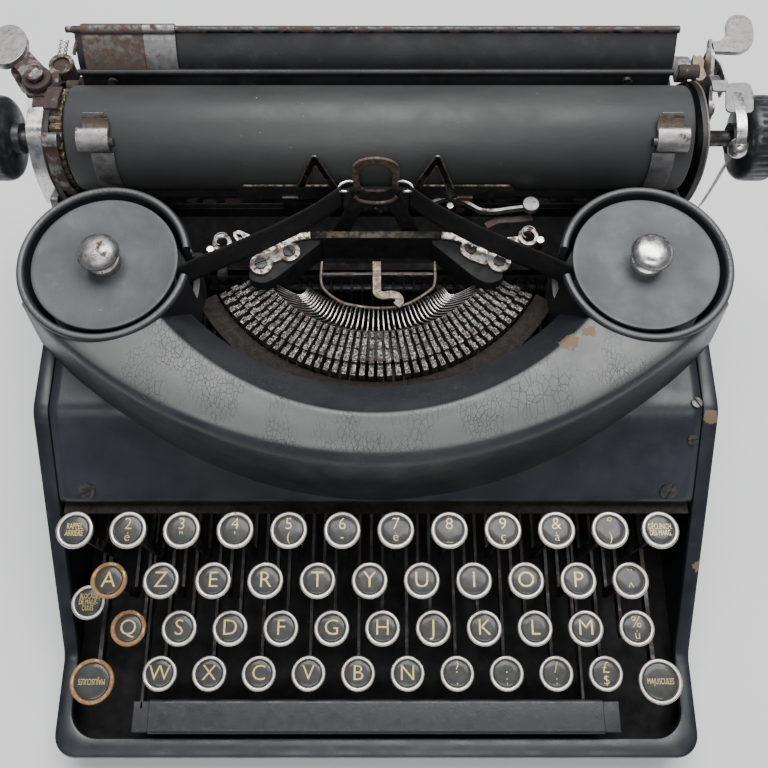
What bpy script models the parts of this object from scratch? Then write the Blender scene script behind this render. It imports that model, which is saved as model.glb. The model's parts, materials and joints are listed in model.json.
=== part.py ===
"""A portable typewriter of the 1930s with its carriage, ribbon spools, type basket and keyboard.

The origin is at the bottom centre of the machine, +Z is up, +X is the typist's right and -Y is the front.
Sizes below are in millimetres; mesh_from() turns them into Blender's metres.
"""

from math import asin, cos, pi, radians, sin, sqrt

import bmesh
import bpy
from mathutils import Vector

MM = 0.001

# Body
HALF_WIDTH = 125.0
HALF_DEPTH = 138.75
CORNER_RADIUS = 9.0
WALL = 2.5
FOOT_HEIGHT = 7.0
PAN_THICKNESS = 1.5
RAIL_TOP = 22.0
DECK_TOP = 86.4
SLOPE_FOOT_Y = -101.0
SLOPE_HEAD_Y = -19.6
WELL_HALF_WIDTH = 119.0
WELL_FRONT_Y = -131.5
WELL_REAR_Y = 133.0
GAP = 0.3

# Keyboard: levers on one fulcrum rod at the rear
KEY_PITCH = 19.05
KEY_RADIUS = 6.675
SHIFT_KEY_RADIUS = 8.45
KEY_DEPTH = 2.6
STEM_HALF_WIDTH = 2.0
LEVER_THICKNESS = 1.2
LEVER_HALF_HEIGHT = 2.5
FULCRUM = (62.0, 24.0)
FULCRUM_RADIUS = 2.5
EYE_RADIUS = 4.6
ROW_Y = (-61.45, -77.05, -92.65, -108.25)
ROW_Z = (77.6, 62.9, 48.3, 33.7)
ROW_FIRST_X = (-88.05, -97.5, -92.8, -83.2)
ROW_NAMES = (
    "2 3 4 5 6 7 8 9 ampersand degree",
    "a z e r t y u i o p circumflex",
    "q s d f g h j k l m percent",
    "w x c v b n question semicolon slash pound",
)
BACKSPACE_X = -107.0
MARGIN_RELEASE_X = 101.2
SHIFT_LOCK = (-111.7, -82.3, 40.0)
SHIFT_X = 108.9
SHIFT_Y = -111.2
SPACE_Y = (-130.0, -117.5)
SPACE_TOP = 28.0
SPACE_BASE = 23.8
SPACE_HALF_WIDTH = 94.0
SPACE_CROWN_HALF_WIDTH = 87.6
SPACE_ARM_X = (-90.9, 80.35)

# Ribbon spools and the crescent cover around them
SPOOL_X = 93.75
SPOOL_Y = 23.45
SPOOL_TOP = 118.0
SPOOL_RADIUS = 25.4
SPOOL_BASE = 99.5
POST_RADIUS = 3.0
POST_TOP = 109.0
CUP_INNER = 27.2
CUP_OUTER = 29.9
CUP_TOP = 119.7
CUP_BASE = 87.5
SKIRT_BASE = 87.0
SKIRT_FOOT_RADIUS = 33.4
COVER_CENTRE_Y = 72.0
COVER_SKIN = 2.0
FOOT_ARC = (122.1, 169.8)
SHOULDER_ARC = (116.5, 162.0)
INNER_TOP_ARC = (68.2, 97.0)
INNER_LOW_ARC = (76.9, 92.7)
COVER_SWEEP = radians(62.6)
COVER_STATIONS = 20
CUP_STEPS = 30
INNER_LOW_Z = 100.0

# Type basket
TYPE_POINT_Y = 58.9
TYPEBARS = 42
TYPEBAR_SPAN = radians(115.4)
TYPEBAR_TIP = 72.4
TYPEBAR_ROOT = 57.0
TYPEBAR_WIDTH = 1.7
SEGMENT_INNER = 42.0

# Carriage
PLATEN_Y = 78.75
PLATEN_Z = 113.0
PLATEN_RADIUS = 18.8
PLATEN_HALF_LENGTH = 116.5
AXLE_RADIUS = 3.0
AXLE_HALF_LENGTH = 131.7
KNOB_RADIUS = 15.5
KNOB_START = 132.0
KNOB_END = 147.0
END_PLATE_X = (118.0, 120.0)
TRUCK_Z = (87.2, 90.0)
RETURN_PIVOT = (-126.0, 98.0)
RELEASE_PIVOT = (92.0, 113.0)
PIN_RADIUS = 2.5
PIN_HOLE_RADIUS = 2.8


# ---------------------------------------------------------------- helpers
def clear_scene():
    for obj in list(bpy.data.objects):
        bpy.data.objects.remove(obj, do_unlink=True)


def material(name, colour, roughness, metallic=0.0):
    made = bpy.data.materials.new(name)
    made.use_nodes = True
    shader = made.node_tree.nodes["Principled BSDF"]
    shader.inputs["Base Color"].default_value = (*colour, 1.0)
    shader.inputs["Roughness"].default_value = roughness
    shader.inputs["Metallic"].default_value = metallic
    return made


def mesh_from(points, faces):
    """A closed mesh with its faces pointing out, from points in millimetres."""
    mesh = bpy.data.meshes.new("solid")
    mesh.from_pydata([Vector(p) * MM for p in points], [], faces)
    shape = bmesh.new()
    shape.from_mesh(mesh)
    bmesh.ops.recalc_face_normals(shape, faces=shape.faces)
    shape.to_mesh(mesh)
    shape.free()
    return mesh


def placed(axis, u, v, along):
    """A point from its two outline coordinates and its place along the sweep axis."""
    if axis == "X":
        return (along, u, v)
    if axis == "Y":
        return (u, along, v)
    return (u, v, along)


def prism(axis, outline, low, high):
    """An outline swept straight: (y, z) along X, (x, z) along Y or (x, y) along Z."""
    count = len(outline)
    points = [placed(axis, u, v, low) for u, v in outline]
    points += [placed(axis, u, v, high) for u, v in outline]
    faces = [tuple(range(count)), tuple(range(count, 2 * count))]
    for i in range(count):
        j = (i + 1) % count
        faces.append((i, j, j + count, i + count))
    return mesh_from(points, faces)


def box(x0, x1, y0, y1, z0, z1):
    return prism("Z", [(x0, y0), (x1, y0), (x1, y1), (x0, y1)], z0, z1)


def turned(axis, profile, centre, steps, closed=False):
    """A profile of (radius, along) turned round an axis through centre.

    An open profile starts and ends on the axis; a closed one is a ring.
    """
    points = []
    rings = []
    for radius, along in profile:
        if radius == 0:
            rings.append([len(points)])
            points.append(placed(axis, centre[0], centre[1], along))
            continue
        rings.append(list(range(len(points), len(points) + steps)))
        for k in range(steps):
            turn = 2 * pi * k / steps
            u = centre[0] + radius * cos(turn)
            v = centre[1] + radius * sin(turn)
            points.append(placed(axis, u, v, along))
    pairs = list(zip(rings, rings[1:]))
    if closed:
        pairs.append((rings[-1], rings[0]))
    faces = []
    for first, second in pairs:
        for k in range(steps):
            after = (k + 1) % steps
            corners = [
                first[k % len(first)],
                first[after % len(first)],
                second[after % len(second)],
                second[k % len(second)],
            ]
            corners = list(dict.fromkeys(corners))
            if len(corners) > 2:
                faces.append(tuple(corners))
    return mesh_from(points, faces)


def rod(axis, centre, radius, low, high, steps=16):
    return turned(axis, [(0, low), (radius, low), (radius, high), (0, high)], centre, steps)


def arc(centre, radius, start, end, steps):
    """Points along an arc; angles are in radians from the first outline axis."""
    return [
        (
            centre[0] + radius * cos(start + (end - start) * k / steps),
            centre[1] + radius * sin(start + (end - start) * k / steps),
        )
        for k in range(steps + 1)
    ]


def rounded_rectangle(x0, x1, y0, y1, radius, steps=4):
    outline = []
    corners = ((x1, y1, 0), (x0, y1, 1), (x0, y0, 2), (x1, y0, 3))
    for x, y, quarter in corners:
        inward_x = radius if x == x0 else -radius
        inward_y = radius if y == y0 else -radius
        start = quarter * pi / 2
        outline += arc((x + inward_x, y + inward_y), radius, start, start + pi / 2, steps)
    return outline


def combined(base, *steps):
    """The base mesh after each (operation, tool mesh) Boolean in turn."""
    body = bpy.data.objects.new("body", base)
    bpy.context.collection.objects.link(body)
    tools = []
    for operation, tool_mesh in steps:
        tool = bpy.data.objects.new("tool", tool_mesh)
        tool.hide_render = True
        tool.display_type = "WIRE"
        bpy.context.collection.objects.link(tool)
        tools.append(tool)
        modifier = body.modifiers.new("cut", "BOOLEAN")
        modifier.operation = operation
        modifier.solver = "EXACT"
        modifier.object = tool
    graph = bpy.context.evaluated_depsgraph_get()
    result = bpy.data.meshes.new_from_object(body.evaluated_get(graph))
    for obj in (body, *tools):
        bpy.data.objects.remove(obj, do_unlink=True)
    return result


def joined(base, *tools):
    return combined(base, *(("UNION", tool) for tool in tools))


def moved(mesh, offset):
    """The same mesh with its points moved by an offset in millimetres."""
    for vertex in mesh.vertices:
        vertex.co += Vector(offset) * MM
    return mesh


def add_part(name, mesh, finish, origin=(0, 0, 0)):
    """An object for a mesh whose points are relative to the object's origin."""
    mesh.shade_smooth()
    mesh.set_sharp_from_angle(angle=radians(32))
    if not mesh.materials:
        mesh.materials.append(finish)
    obj = bpy.data.objects.new(name, mesh)
    obj.location = Vector(origin) * MM
    bpy.context.collection.objects.link(obj)
    return obj


def add_part_in_world(name, mesh, finish, origin):
    """An object for a mesh given in world places, with its origin moved onto its joint."""
    mesh.name = name
    return add_part(name, moved(mesh, [-value for value in origin]), finish, origin)


# ---------------------------------------------------------------- body
def slope_z(y):
    """Height of the body's top edge above a place along the machine."""
    rise = (DECK_TOP - RAIL_TOP) / (SLOPE_HEAD_Y - SLOPE_FOOT_Y)
    return min(DECK_TOP, max(RAIL_TOP, RAIL_TOP + rise * (y - SLOPE_FOOT_Y)))


def side_profile(lowered, bottom):
    return [
        (-HALF_DEPTH - 1, bottom),
        (HALF_DEPTH + 1, bottom),
        (HALF_DEPTH + 1, DECK_TOP - lowered),
        (SLOPE_HEAD_Y, DECK_TOP - lowered),
        (SLOPE_FOOT_Y, RAIL_TOP - lowered),
        (-HALF_DEPTH - 1, RAIL_TOP - lowered),
    ]


def block(inset, lowered, bottom):
    """The body's outer block, or the hollow inside it, with rounded corners."""
    x = HALF_WIDTH - inset
    y = HALF_DEPTH - inset
    plan = rounded_rectangle(-x, x, -y, y, CORNER_RADIUS - inset)
    return combined(
        prism("Z", plan, bottom, DECK_TOP + 10),
        ("INTERSECT", prism("X", side_profile(lowered, bottom - 1), -HALF_WIDTH - 2, HALF_WIDTH + 2)),
    )


def bottom_pan():
    """The sheet that closes the body underneath, on its feet."""
    edge = HALF_WIDTH - 1
    side = HALF_DEPTH - 1
    plan = rounded_rectangle(-edge, edge, -side, side, CORNER_RADIUS - 1)
    return prism("Z", plan, FOOT_HEIGHT, FOOT_HEIGHT + PAN_THICKNESS)


def foot(x, y):
    profile = [(0, 0), (7.6, 0), (9.2, 1.6), (9.6, FOOT_HEIGHT + 1), (0, FOOT_HEIGHT + 1)]
    return turned("Z", profile, (x, y), 16)


def base_frame():
    well = rounded_rectangle(-WELL_HALF_WIDTH, WELL_HALF_WIDTH, WELL_FRONT_Y, WELL_REAR_Y, 10.5)
    shell = combined(
        block(0, 0, FOOT_HEIGHT),
        ("DIFFERENCE", block(WALL, WALL, FOOT_HEIGHT - 5)),
        ("DIFFERENCE", prism("Z", well, 14, DECK_TOP + 5)),
    )
    inside = HALF_WIDTH - 1
    pieces = [bottom_pan()]
    pieces += [foot(x, y) for x in (-113, 113) for y in (-126, 126)]
    pieces.append(rod("X", FULCRUM, FULCRUM_RADIUS, -inside, inside, 8))
    pieces.append(box(-inside, inside, -47, -42, 52, 58))
    pieces.append(box(-inside, inside, 66, 72, 79, DECK_TOP - GAP))
    pieces.append(box(-inside, inside, 112, 118, 79, DECK_TOP - GAP))
    for side in (-1, 1):
        shelf = sorted((side * 80, side * inside))
        pieces.append(box(*shelf, 14, 33, 80, 83.4))
        pieces.append(rod("Z", (side * SPOOL_X, SPOOL_Y), POST_RADIUS, 82, POST_TOP, 12))
    return joined(shell, *pieces)


# ---------------------------------------------------------------- crescent cover
def reach(angle, circle):
    """Distance from the cover's centre to a circle on the centre line, at an angle from the front."""
    centre_y, radius = circle
    offset = -cos(angle) * (centre_y - COVER_CENTRE_Y)
    return offset + sqrt(offset**2 - (centre_y - COVER_CENTRE_Y) ** 2 + radius**2)


def cover_section(angle):
    """The cover's wall at one angle: distance and height, down the outside and back up the inside."""
    raised = (1 - cos(min(1.0, abs(angle) / radians(50)) * pi)) / 2
    shoulder_z = 106 + 11.2 * raised
    inner_z = 113 + 5 * raised
    foot = reach(angle, FOOT_ARC)
    shoulder = reach(angle, SHOULDER_ARC)
    inner_top = reach(angle, INNER_TOP_ARC)
    inner_low = reach(angle, INNER_LOW_ARC)
    foot_x = foot * abs(sin(angle))
    foot_y = COVER_CENTRE_Y - foot * cos(angle)
    on_frame = foot_x > WELL_HALF_WIDTH - 12
    foot_z = DECK_TOP + GAP if on_frame else slope_z(foot_y) - 1.2
    middle = (shoulder + inner_top) / 2
    outside = [
        (foot, foot_z),
        (shoulder + 0.8, shoulder_z - 7),
        (shoulder - 1.6, shoulder_z - 2.2),
        (shoulder - 5.0, shoulder_z),
        (middle, (shoulder_z + inner_z) / 2 + 1.0),
        (inner_top + 1.2, inner_z),
        (inner_top, inner_z - 0.8),
        (inner_low, INNER_LOW_Z),
    ]
    inside = [
        (inner_low + COVER_SKIN, INNER_LOW_Z - 0.6),
        (inner_top + COVER_SKIN + 0.6, inner_z - 3.0),
        (middle, (shoulder_z + inner_z) / 2 - 1.2),
        (shoulder - 6.0, shoulder_z - COVER_SKIN - 0.4),
        (shoulder - 1.8, shoulder_z - 8),
        (foot - COVER_SKIN, foot_z),
    ]
    return outside + inside


def swept_cover():
    points = []
    sections = []
    for k in range(COVER_STATIONS + 1):
        angle = COVER_SWEEP * (2 * k / COVER_STATIONS - 1)
        section = cover_section(angle)
        sections.append(list(range(len(points), len(points) + len(section))))
        for distance, z in section:
            points.append((distance * sin(angle), COVER_CENTRE_Y - distance * cos(angle), z))
    faces = [tuple(sections[0]), tuple(sections[-1])]
    for first, second in zip(sections, sections[1:]):
        for i in range(len(first)):
            j = (i + 1) % len(first)
            faces.append((first[i], first[j], second[j], second[i]))
    return mesh_from(points, faces)


def spool_cup(side):
    """The round wall that a spool stands in, with its rolled rim."""
    profile = [
        (CUP_INNER, CUP_BASE),
        (CUP_INNER, CUP_TOP - 0.7),
        (CUP_INNER + 0.9, CUP_TOP),
        (CUP_OUTER - 0.7, CUP_TOP - 0.2),
        (CUP_OUTER, CUP_TOP - 1.1),
        (CUP_OUTER, CUP_BASE),
    ]
    return turned("Z", profile, (side * SPOOL_X, SPOOL_Y), CUP_STEPS, closed=True)


def cup_skirt(side):
    """The flared outer wall that carries the crescent's side round the back of the cup."""
    profile = [
        (CUP_OUTER - 0.9, CUP_TOP - 3.0),
        (CUP_OUTER + 0.1, CUP_TOP - 2.2),
        (SKIRT_FOOT_RADIUS, SKIRT_BASE),
        (SKIRT_FOOT_RADIUS - COVER_SKIN, SKIRT_BASE),
        (CUP_OUTER - 0.9, CUP_TOP - 8.0),
    ]
    ring = turned("Z", profile, (side * SPOOL_X, SPOOL_Y), CUP_STEPS, closed=True)
    inner = sorted((side * 40, side * (SPOOL_X - 6)))
    return combined(ring, ("DIFFERENCE", box(*inner, -30, 80, 80, 130)))


def front_panel():
    """The sheet in front of and beside the crescent, bent once across."""
    thickness = 1.5
    front_y = -48.2
    rear_y = 30.0
    outline = [
        (front_y, slope_z(front_y)),
        (SLOPE_HEAD_Y, DECK_TOP),
        (rear_y, DECK_TOP),
        (rear_y, DECK_TOP - thickness),
        (SLOPE_HEAD_Y + 0.6, DECK_TOP - thickness),
        (front_y + 1.1, slope_z(front_y) - 1.1),
    ]
    edge = WELL_HALF_WIDTH - 0.4
    under_cover = []
    for k in range(COVER_STATIONS + 1):
        angle = COVER_SWEEP * (2 * k / COVER_STATIONS - 1)
        distance = reach(angle, FOOT_ARC) - 1.0
        under_cover.append((distance * sin(angle), COVER_CENTRE_Y - distance * cos(angle)))
    under_cover += [(90, 60), (-90, 60)]
    cuts = [prism("Z", under_cover, 50, DECK_TOP + 5)]
    for side in (-1, 1):
        cuts.append(rod("Z", (side * SPOOL_X, SPOOL_Y), SKIRT_FOOT_RADIUS - 1, 80, 90, CUP_STEPS))
    return combined(prism("X", outline, -edge, edge), *(("DIFFERENCE", cut) for cut in cuts))


def ribbon_cover():
    steps = [("UNION", front_panel())]
    for side in (-1, 1):
        steps.append(("UNION", cup_skirt(side)))
        hollow = rod("Z", (side * SPOOL_X, SPOOL_Y), (CUP_INNER + CUP_OUTER) / 2, 80, 130, CUP_STEPS)
        steps.append(("DIFFERENCE", hollow))
        steps.append(("UNION", spool_cup(side)))
        mouth = sorted((side * (SPOOL_X - 24), side * (SPOOL_X - 33)))
        steps.append(("DIFFERENCE", box(*mouth, SPOOL_Y - 5, SPOOL_Y + 5.5, 101, 125)))
    return combined(swept_cover(), *steps)


# ---------------------------------------------------------------- ribbon and type
def ribbon_spool():
    """A flanged spool with its mushroom knob, round its own upright axis."""
    profile = [
        (0, POST_TOP + 1),
        (POST_RADIUS + 0.4, POST_TOP + 1),
        (POST_RADIUS + 0.4, SPOOL_BASE),
        (SPOOL_RADIUS, SPOOL_BASE),
        (SPOOL_RADIUS, SPOOL_BASE + 1.2),
        (10, SPOOL_BASE + 1.2),
        (10, SPOOL_TOP - 1.2),
        (SPOOL_RADIUS, SPOOL_TOP - 1.2),
        (SPOOL_RADIUS, SPOOL_TOP),
        (5.9, SPOOL_TOP),
        (5.9, SPOOL_TOP + 2.3),
        (4.2, SPOOL_TOP + 2.8),
        (4.2, SPOOL_TOP + 6.0),
        (7.2, SPOOL_TOP + 6.8),
        (7.2, SPOOL_TOP + 8.0),
        (5.2, SPOOL_TOP + 9.6),
        (0, SPOOL_TOP + 10.2),
    ]
    return turned("Z", profile, (0, 0), 20)


def ribbon_vibrator():
    """The fork that lifts the ribbon to the type point: two legs and a loop, leaning to the platen."""
    lean_start = 108.0
    outline = [(-20, 84), (-9, 108), (-8.6, 121)]
    outline += arc((0, 121), 6.6, pi, 0, 8)[1:-1]
    outline += [(8.6, 121), (9, 108), (20, 84)]
    window = arc((0, 117), 5.2, 0, 2 * pi, 12)[:-1]
    legs = [(-14, 83), (-4, 104.5), (4, 104.5), (14, 83)]
    mesh = combined(
        prism("Y", outline, 56.0, 57.1),
        ("DIFFERENCE", prism("Y", window, 50, 62)),
        ("DIFFERENCE", prism("Y", legs, 50, 62)),
    )
    for vertex in mesh.vertices:
        above = vertex.co.z / MM - lean_start
        slope = 0.158 if above > 0 else 0.27
        vertex.co.y += above * slope * MM
    return mesh


def typebar_comb():
    """The typebars side by side on their segment, as one toothed plate."""
    outline = []
    for k in range(TYPEBARS):
        angle = -pi / 2 + TYPEBAR_SPAN * (k / (TYPEBARS - 1) - 0.5)
        for radius, side in ((TYPEBAR_ROOT, -1), (TYPEBAR_TIP, -1), (TYPEBAR_TIP, 1), (TYPEBAR_ROOT, 1)):
            turn = angle + side * TYPEBAR_WIDTH / 2 / radius
            outline.append((radius * cos(turn), TYPE_POINT_Y + radius * sin(turn)))
    half = TYPEBAR_SPAN / 2 + radians(1.5)
    outline += arc((0, TYPE_POINT_Y), SEGMENT_INNER, -pi / 2 + half, -pi / 2 - half, 14)
    return prism("Z", outline, 88, 94.5)


def type_basket():
    pieces = [box(-25, 25, 43.6, 47.0, 84, 100)]
    for side in (-1, 1):
        arm = [(side * 22, 47.0), (side * 22, 41.5), (side * 38, 27.5), (side * 48, 27.5), (side * 46, 33)]
        pieces.append(prism("Z", arm, 86, 98.5))
    return joined(typebar_comb(), *pieces)


# ---------------------------------------------------------------- carriage
def platen():
    profile = [
        (0, -AXLE_HALF_LENGTH),
        (AXLE_RADIUS, -AXLE_HALF_LENGTH),
        (AXLE_RADIUS, -PLATEN_HALF_LENGTH),
        (PLATEN_RADIUS - 0.8, -PLATEN_HALF_LENGTH),
        (PLATEN_RADIUS, -PLATEN_HALF_LENGTH + 0.8),
        (PLATEN_RADIUS, PLATEN_HALF_LENGTH - 0.8),
        (PLATEN_RADIUS - 0.8, PLATEN_HALF_LENGTH),
        (AXLE_RADIUS, PLATEN_HALF_LENGTH),
        (AXLE_RADIUS, AXLE_HALF_LENGTH),
        (0, AXLE_HALF_LENGTH),
    ]
    return turned("X", profile, (0, 0), 32)


def platen_knob(side):
    profile = [
        (0, side * KNOB_START),
        (11.5, side * KNOB_START),
        (14.6, side * (KNOB_START + 2.0)),
        (KNOB_RADIUS, side * (KNOB_START + 3.2)),
        (KNOB_RADIUS, side * (KNOB_END - 1.6)),
        (KNOB_RADIUS - 1.6, side * KNOB_END),
        (0, side * KNOB_END),
    ]
    return turned("X", profile, (0, 0), 28)


def paper_table():
    """The curved sheet behind the platen, with a rod in its top hem."""
    front = [(100.4, 97), (101.6, 112), (104.5, 121.5), (112.8, 130.6)]
    back = [(113.9, 129.8), (105.6, 120.9), (102.9, 111.8), (101.8, 97)]
    return joined(prism("X", front + back, -112, 112), rod("X", (113.4, 131.2), 1.4, -112, 112, 10))


def platen_frame():
    near, far = END_PLATE_X
    end_plate = [
        (60.8, 97),
        (60.8, 107),
        (64, 118),
        (72, 125.5),
        (88, 126.5),
        (100, 120),
        (108.5, 108),
        (108.5, 92),
        (70, 92),
    ]
    pieces = [paper_table()]
    for side in (-1, 1):
        span = sorted((side * near, side * far))
        pieces.append(prism("X", end_plate, *span))
    bracket = rounded_rectangle(-131.5, -118.8, 92, 104, 4)
    pieces.append(prism("Z", bracket, 118.4, 121))
    pieces.append(rod("Z", RETURN_PIVOT, PIN_RADIUS, 120, 126.5, 12))
    pieces.append(rod("X", RELEASE_PIVOT, PIN_RADIUS, near + 1, 128.0, 12))
    body = joined(box(-near - 0.5, near + 0.5, 100.8, 106, 93, 98), *pieces)
    bore = rod("X", (PLATEN_Y, PLATEN_Z), AXLE_RADIUS + 0.4, -far - 2, far + 2, 16)
    return combined(body, ("DIFFERENCE", bore))


def carriage_truck():
    low, high = TRUCK_Z
    pieces = []
    for side in (-1, 1):
        span = sorted((side * 121, side * 123.5))
        pieces.append(box(*span, 98, 110, low, 106))
    return joined(box(-123, 123, 98, 110, low, high), *pieces)


def return_lever():
    """A flat lever on an upright pin at the left end, with its finger piece at the rear."""
    x, y = RETURN_PIVOT
    hub = rod("Z", RETURN_PIVOT, 5.4, 121.6, 124.0, 16)
    arm = [(x - 3.4, y - 1.5), (x + 3.6, y + 2), (x - 7, y + 14), (x - 13, y + 9)]
    lobe = [(x - 12.6 + 7.6 * cos(t), y + 14 + 9.5 * sin(t)) for t in (2 * pi * k / 16 for k in range(16))]
    body = joined(hub, prism("Z", arm, 121.6, 123.8), prism("Z", lobe, 122.2, 125.4))
    return combined(body, ("DIFFERENCE", rod("Z", RETURN_PIVOT, PIN_HOLE_RADIUS, 118, 130, 12)))


def paper_release_lever():
    """A lever on a cross pin at the right end, with a wide thumb piece turned outwards."""
    y, z = RELEASE_PIVOT
    hub = rod("X", RELEASE_PIVOT, 5.2, 124.4, 126.4, 16)
    arm = [(y - 2, z + 3.6), (y + 4, z - 2), (y + 22, z + 11.5), (y + 22, z + 13.8), (y + 14, z + 13.8)]
    lobe = [(133.6 + 8.4 * cos(t), y + 24 + 9.2 * sin(t)) for t in (2 * pi * k / 16 for k in range(16))]
    body = joined(
        hub,
        prism("X", arm, 124.4, 126.0),
        prism("Z", lobe, z + 11.6, z + 13.8),
    )
    return combined(body, ("DIFFERENCE", rod("X", RELEASE_PIVOT, PIN_HOLE_RADIUS, 120, 130, 12)))


# ---------------------------------------------------------------- keys, round their fulcrum
def lever_outline(y, top):
    """A key lever from the side: an eye on the rod, a strip forward and a stem up to the key."""
    rear_y, rear_z = FULCRUM
    opening = pi - asin(LEVER_HALF_HEIGHT / EYE_RADIUS)
    eye = arc((0, 0), EYE_RADIUS, -opening, opening, 6)
    key_y = y - rear_y
    return eye + [
        (key_y + STEM_HALF_WIDTH, LEVER_HALF_HEIGHT),
        (key_y + STEM_HALF_WIDTH, top - rear_z),
        (key_y - STEM_HALF_WIDTH, top - rear_z),
        (key_y - STEM_HALF_WIDTH, -LEVER_HALF_HEIGHT + 1.5),
        (key_y - 0.5, -LEVER_HALF_HEIGHT),
    ]


def lever(y, top, x=0.0, thickness=LEVER_THICKNESS):
    return prism("X", lever_outline(y, top), x - thickness / 2, x + thickness / 2)


def key_top(y, z, x=0.0, radius=KEY_RADIUS):
    y -= FULCRUM[0]
    z -= FULCRUM[1]
    profile = [(0, z - KEY_DEPTH), (radius - 0.9, z - KEY_DEPTH), (radius, z), (0, z)]
    return turned("Z", profile, (x, y), 16)


def rod_hole(x=0.0):
    return rod("X", (0, 0), FULCRUM_RADIUS + GAP, x - 3, x + 3, 8)


def key(y, z):
    body = joined(lever(y, z - KEY_DEPTH + 1), key_top(y, z))
    return combined(body, ("DIFFERENCE", rod_hole()))


def shift_keys():
    """Both shift keys with the bail that joins them behind the fulcrum."""
    pieces = []
    cuts = []
    for side in (-1, 1):
        pieces.append(lever(SHIFT_Y, ROW_Z[3] - KEY_DEPTH + 1, side * SHIFT_X, 1.6))
        pieces.append(key_top(SHIFT_Y, ROW_Z[3], side * SHIFT_X, SHIFT_KEY_RADIUS))
        edge = sorted((side * (SHIFT_X - 0.8), side * (SHIFT_X + 0.8)))
        pieces.append(box(*edge, 3.4, 12, -2.4, 2.4))
        cuts.append(("DIFFERENCE", rod_hole(side * SHIFT_X)))
    bail = box(-SHIFT_X, SHIFT_X, 8, 12, -2.4, 2.4)
    return combined(joined(bail, *pieces), *cuts)


def space_bar():
    front, rear = (value - FULCRUM[0] for value in SPACE_Y)
    base = SPACE_BASE - FULCRUM[1]
    top = SPACE_TOP - FULCRUM[1]
    crown = [(front, base), (rear, base), (rear, top - 1.2), (rear - 1.2, top)]
    crown += [(front + 1.4, top), (front, top - 1.4)]
    step = [(front + 0.4, base), (rear - 0.4, base), (rear - 0.4, top - 1.6), (front + 0.4, top - 1.6)]
    pieces = [prism("X", step, -SPACE_HALF_WIDTH, SPACE_HALF_WIDTH)]
    cuts = []
    for arm_x in SPACE_ARM_X:
        pieces.append(lever(-123.5, SPACE_TOP - 2.5, arm_x, 1.4))
        cuts.append(("DIFFERENCE", rod_hole(arm_x)))
    bar = prism("X", crown, -SPACE_CROWN_HALF_WIDTH, SPACE_CROWN_HALF_WIDTH)
    return combined(joined(bar, *pieces), *cuts)


def add_keys(finish):
    rear_y, rear_z = FULCRUM
    for names, y, z, first_x in zip(ROW_NAMES, ROW_Y, ROW_Z, ROW_FIRST_X):
        mesh = key(y, z)
        for k, name in enumerate(names.split()):
            add_part("key_" + name, mesh, finish, (first_x + k * KEY_PITCH, rear_y, rear_z))
    side_key = key(ROW_Y[0], ROW_Z[0])
    add_part("key_backspace", side_key, finish, (BACKSPACE_X, rear_y, rear_z))
    add_part("key_margin_release", side_key, finish, (MARGIN_RELEASE_X, rear_y, rear_z))
    lock_x, lock_y, lock_z = SHIFT_LOCK
    add_part("key_shift_lock", key(lock_y, lock_z), finish, (lock_x, rear_y, rear_z))
    add_part("shift_keys", shift_keys(), finish, (0, rear_y, rear_z))


# ---------------------------------------------------------------- assembly
def main():
    clear_scene()
    enamel = material("black_crackle_enamel", (0.018, 0.020, 0.024), 0.42)
    frame_paint = material("black_frame_enamel", (0.012, 0.013, 0.016), 0.35)
    steel = material("dark_steel", (0.16, 0.15, 0.14), 0.45, 0.9)
    aged_nickel = material("aged_nickel", (0.55, 0.53, 0.50), 0.35, 0.95)
    rubber = material("platen_rubber", (0.030, 0.032, 0.035), 0.62)
    knob_plastic = material("knob_plastic", (0.016, 0.018, 0.022), 0.38)
    spool_paint = material("spool_paint", (0.055, 0.060, 0.065), 0.45)
    rusty_iron = material("rusty_iron", (0.13, 0.075, 0.05), 0.75, 0.3)
    key_black = material("key_black", (0.02, 0.02, 0.022), 0.3)
    bar_paint = material("space_bar_paint", (0.014, 0.015, 0.018), 0.32)

    add_part("base_frame", base_frame(), frame_paint)
    add_part("ribbon_cover", ribbon_cover(), enamel)
    add_part("type_basket", type_basket(), steel)
    spool = ribbon_spool()
    add_part("left_ribbon_spool", spool, spool_paint, (-SPOOL_X, SPOOL_Y, 0))
    add_part("right_ribbon_spool", spool, spool_paint, (SPOOL_X, SPOOL_Y, 0))
    add_part("ribbon_vibrator", ribbon_vibrator(), rusty_iron)

    axle = (0, PLATEN_Y, PLATEN_Z)
    add_part("carriage_truck", carriage_truck(), steel)
    add_part("platen_frame", platen_frame(), frame_paint)
    add_part("platen", platen(), rubber, axle)
    add_part("left_platen_knob", platen_knob(-1), knob_plastic, axle)
    add_part("right_platen_knob", platen_knob(1), knob_plastic, axle)
    add_part_in_world("return_lever", return_lever(), aged_nickel, (*RETURN_PIVOT, 122.7))
    add_part_in_world("paper_release_lever", paper_release_lever(), aged_nickel, (125.2, *RELEASE_PIVOT))

    add_keys(key_black)
    add_part("space_bar", space_bar(), bar_paint, (0, *FULCRUM))


main()
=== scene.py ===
"""Looks of a 1930s portable typewriter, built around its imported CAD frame.

Sizes are in millimetres in the row frame and MM turns them into metres: +X is the typist's right,
-Y the front, +Z up.
"""

import json

from math import asin, cos, hypot, pi, radians, sin, sqrt

import bmesh
import bpy
from mathutils import Matrix, Vector

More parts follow.
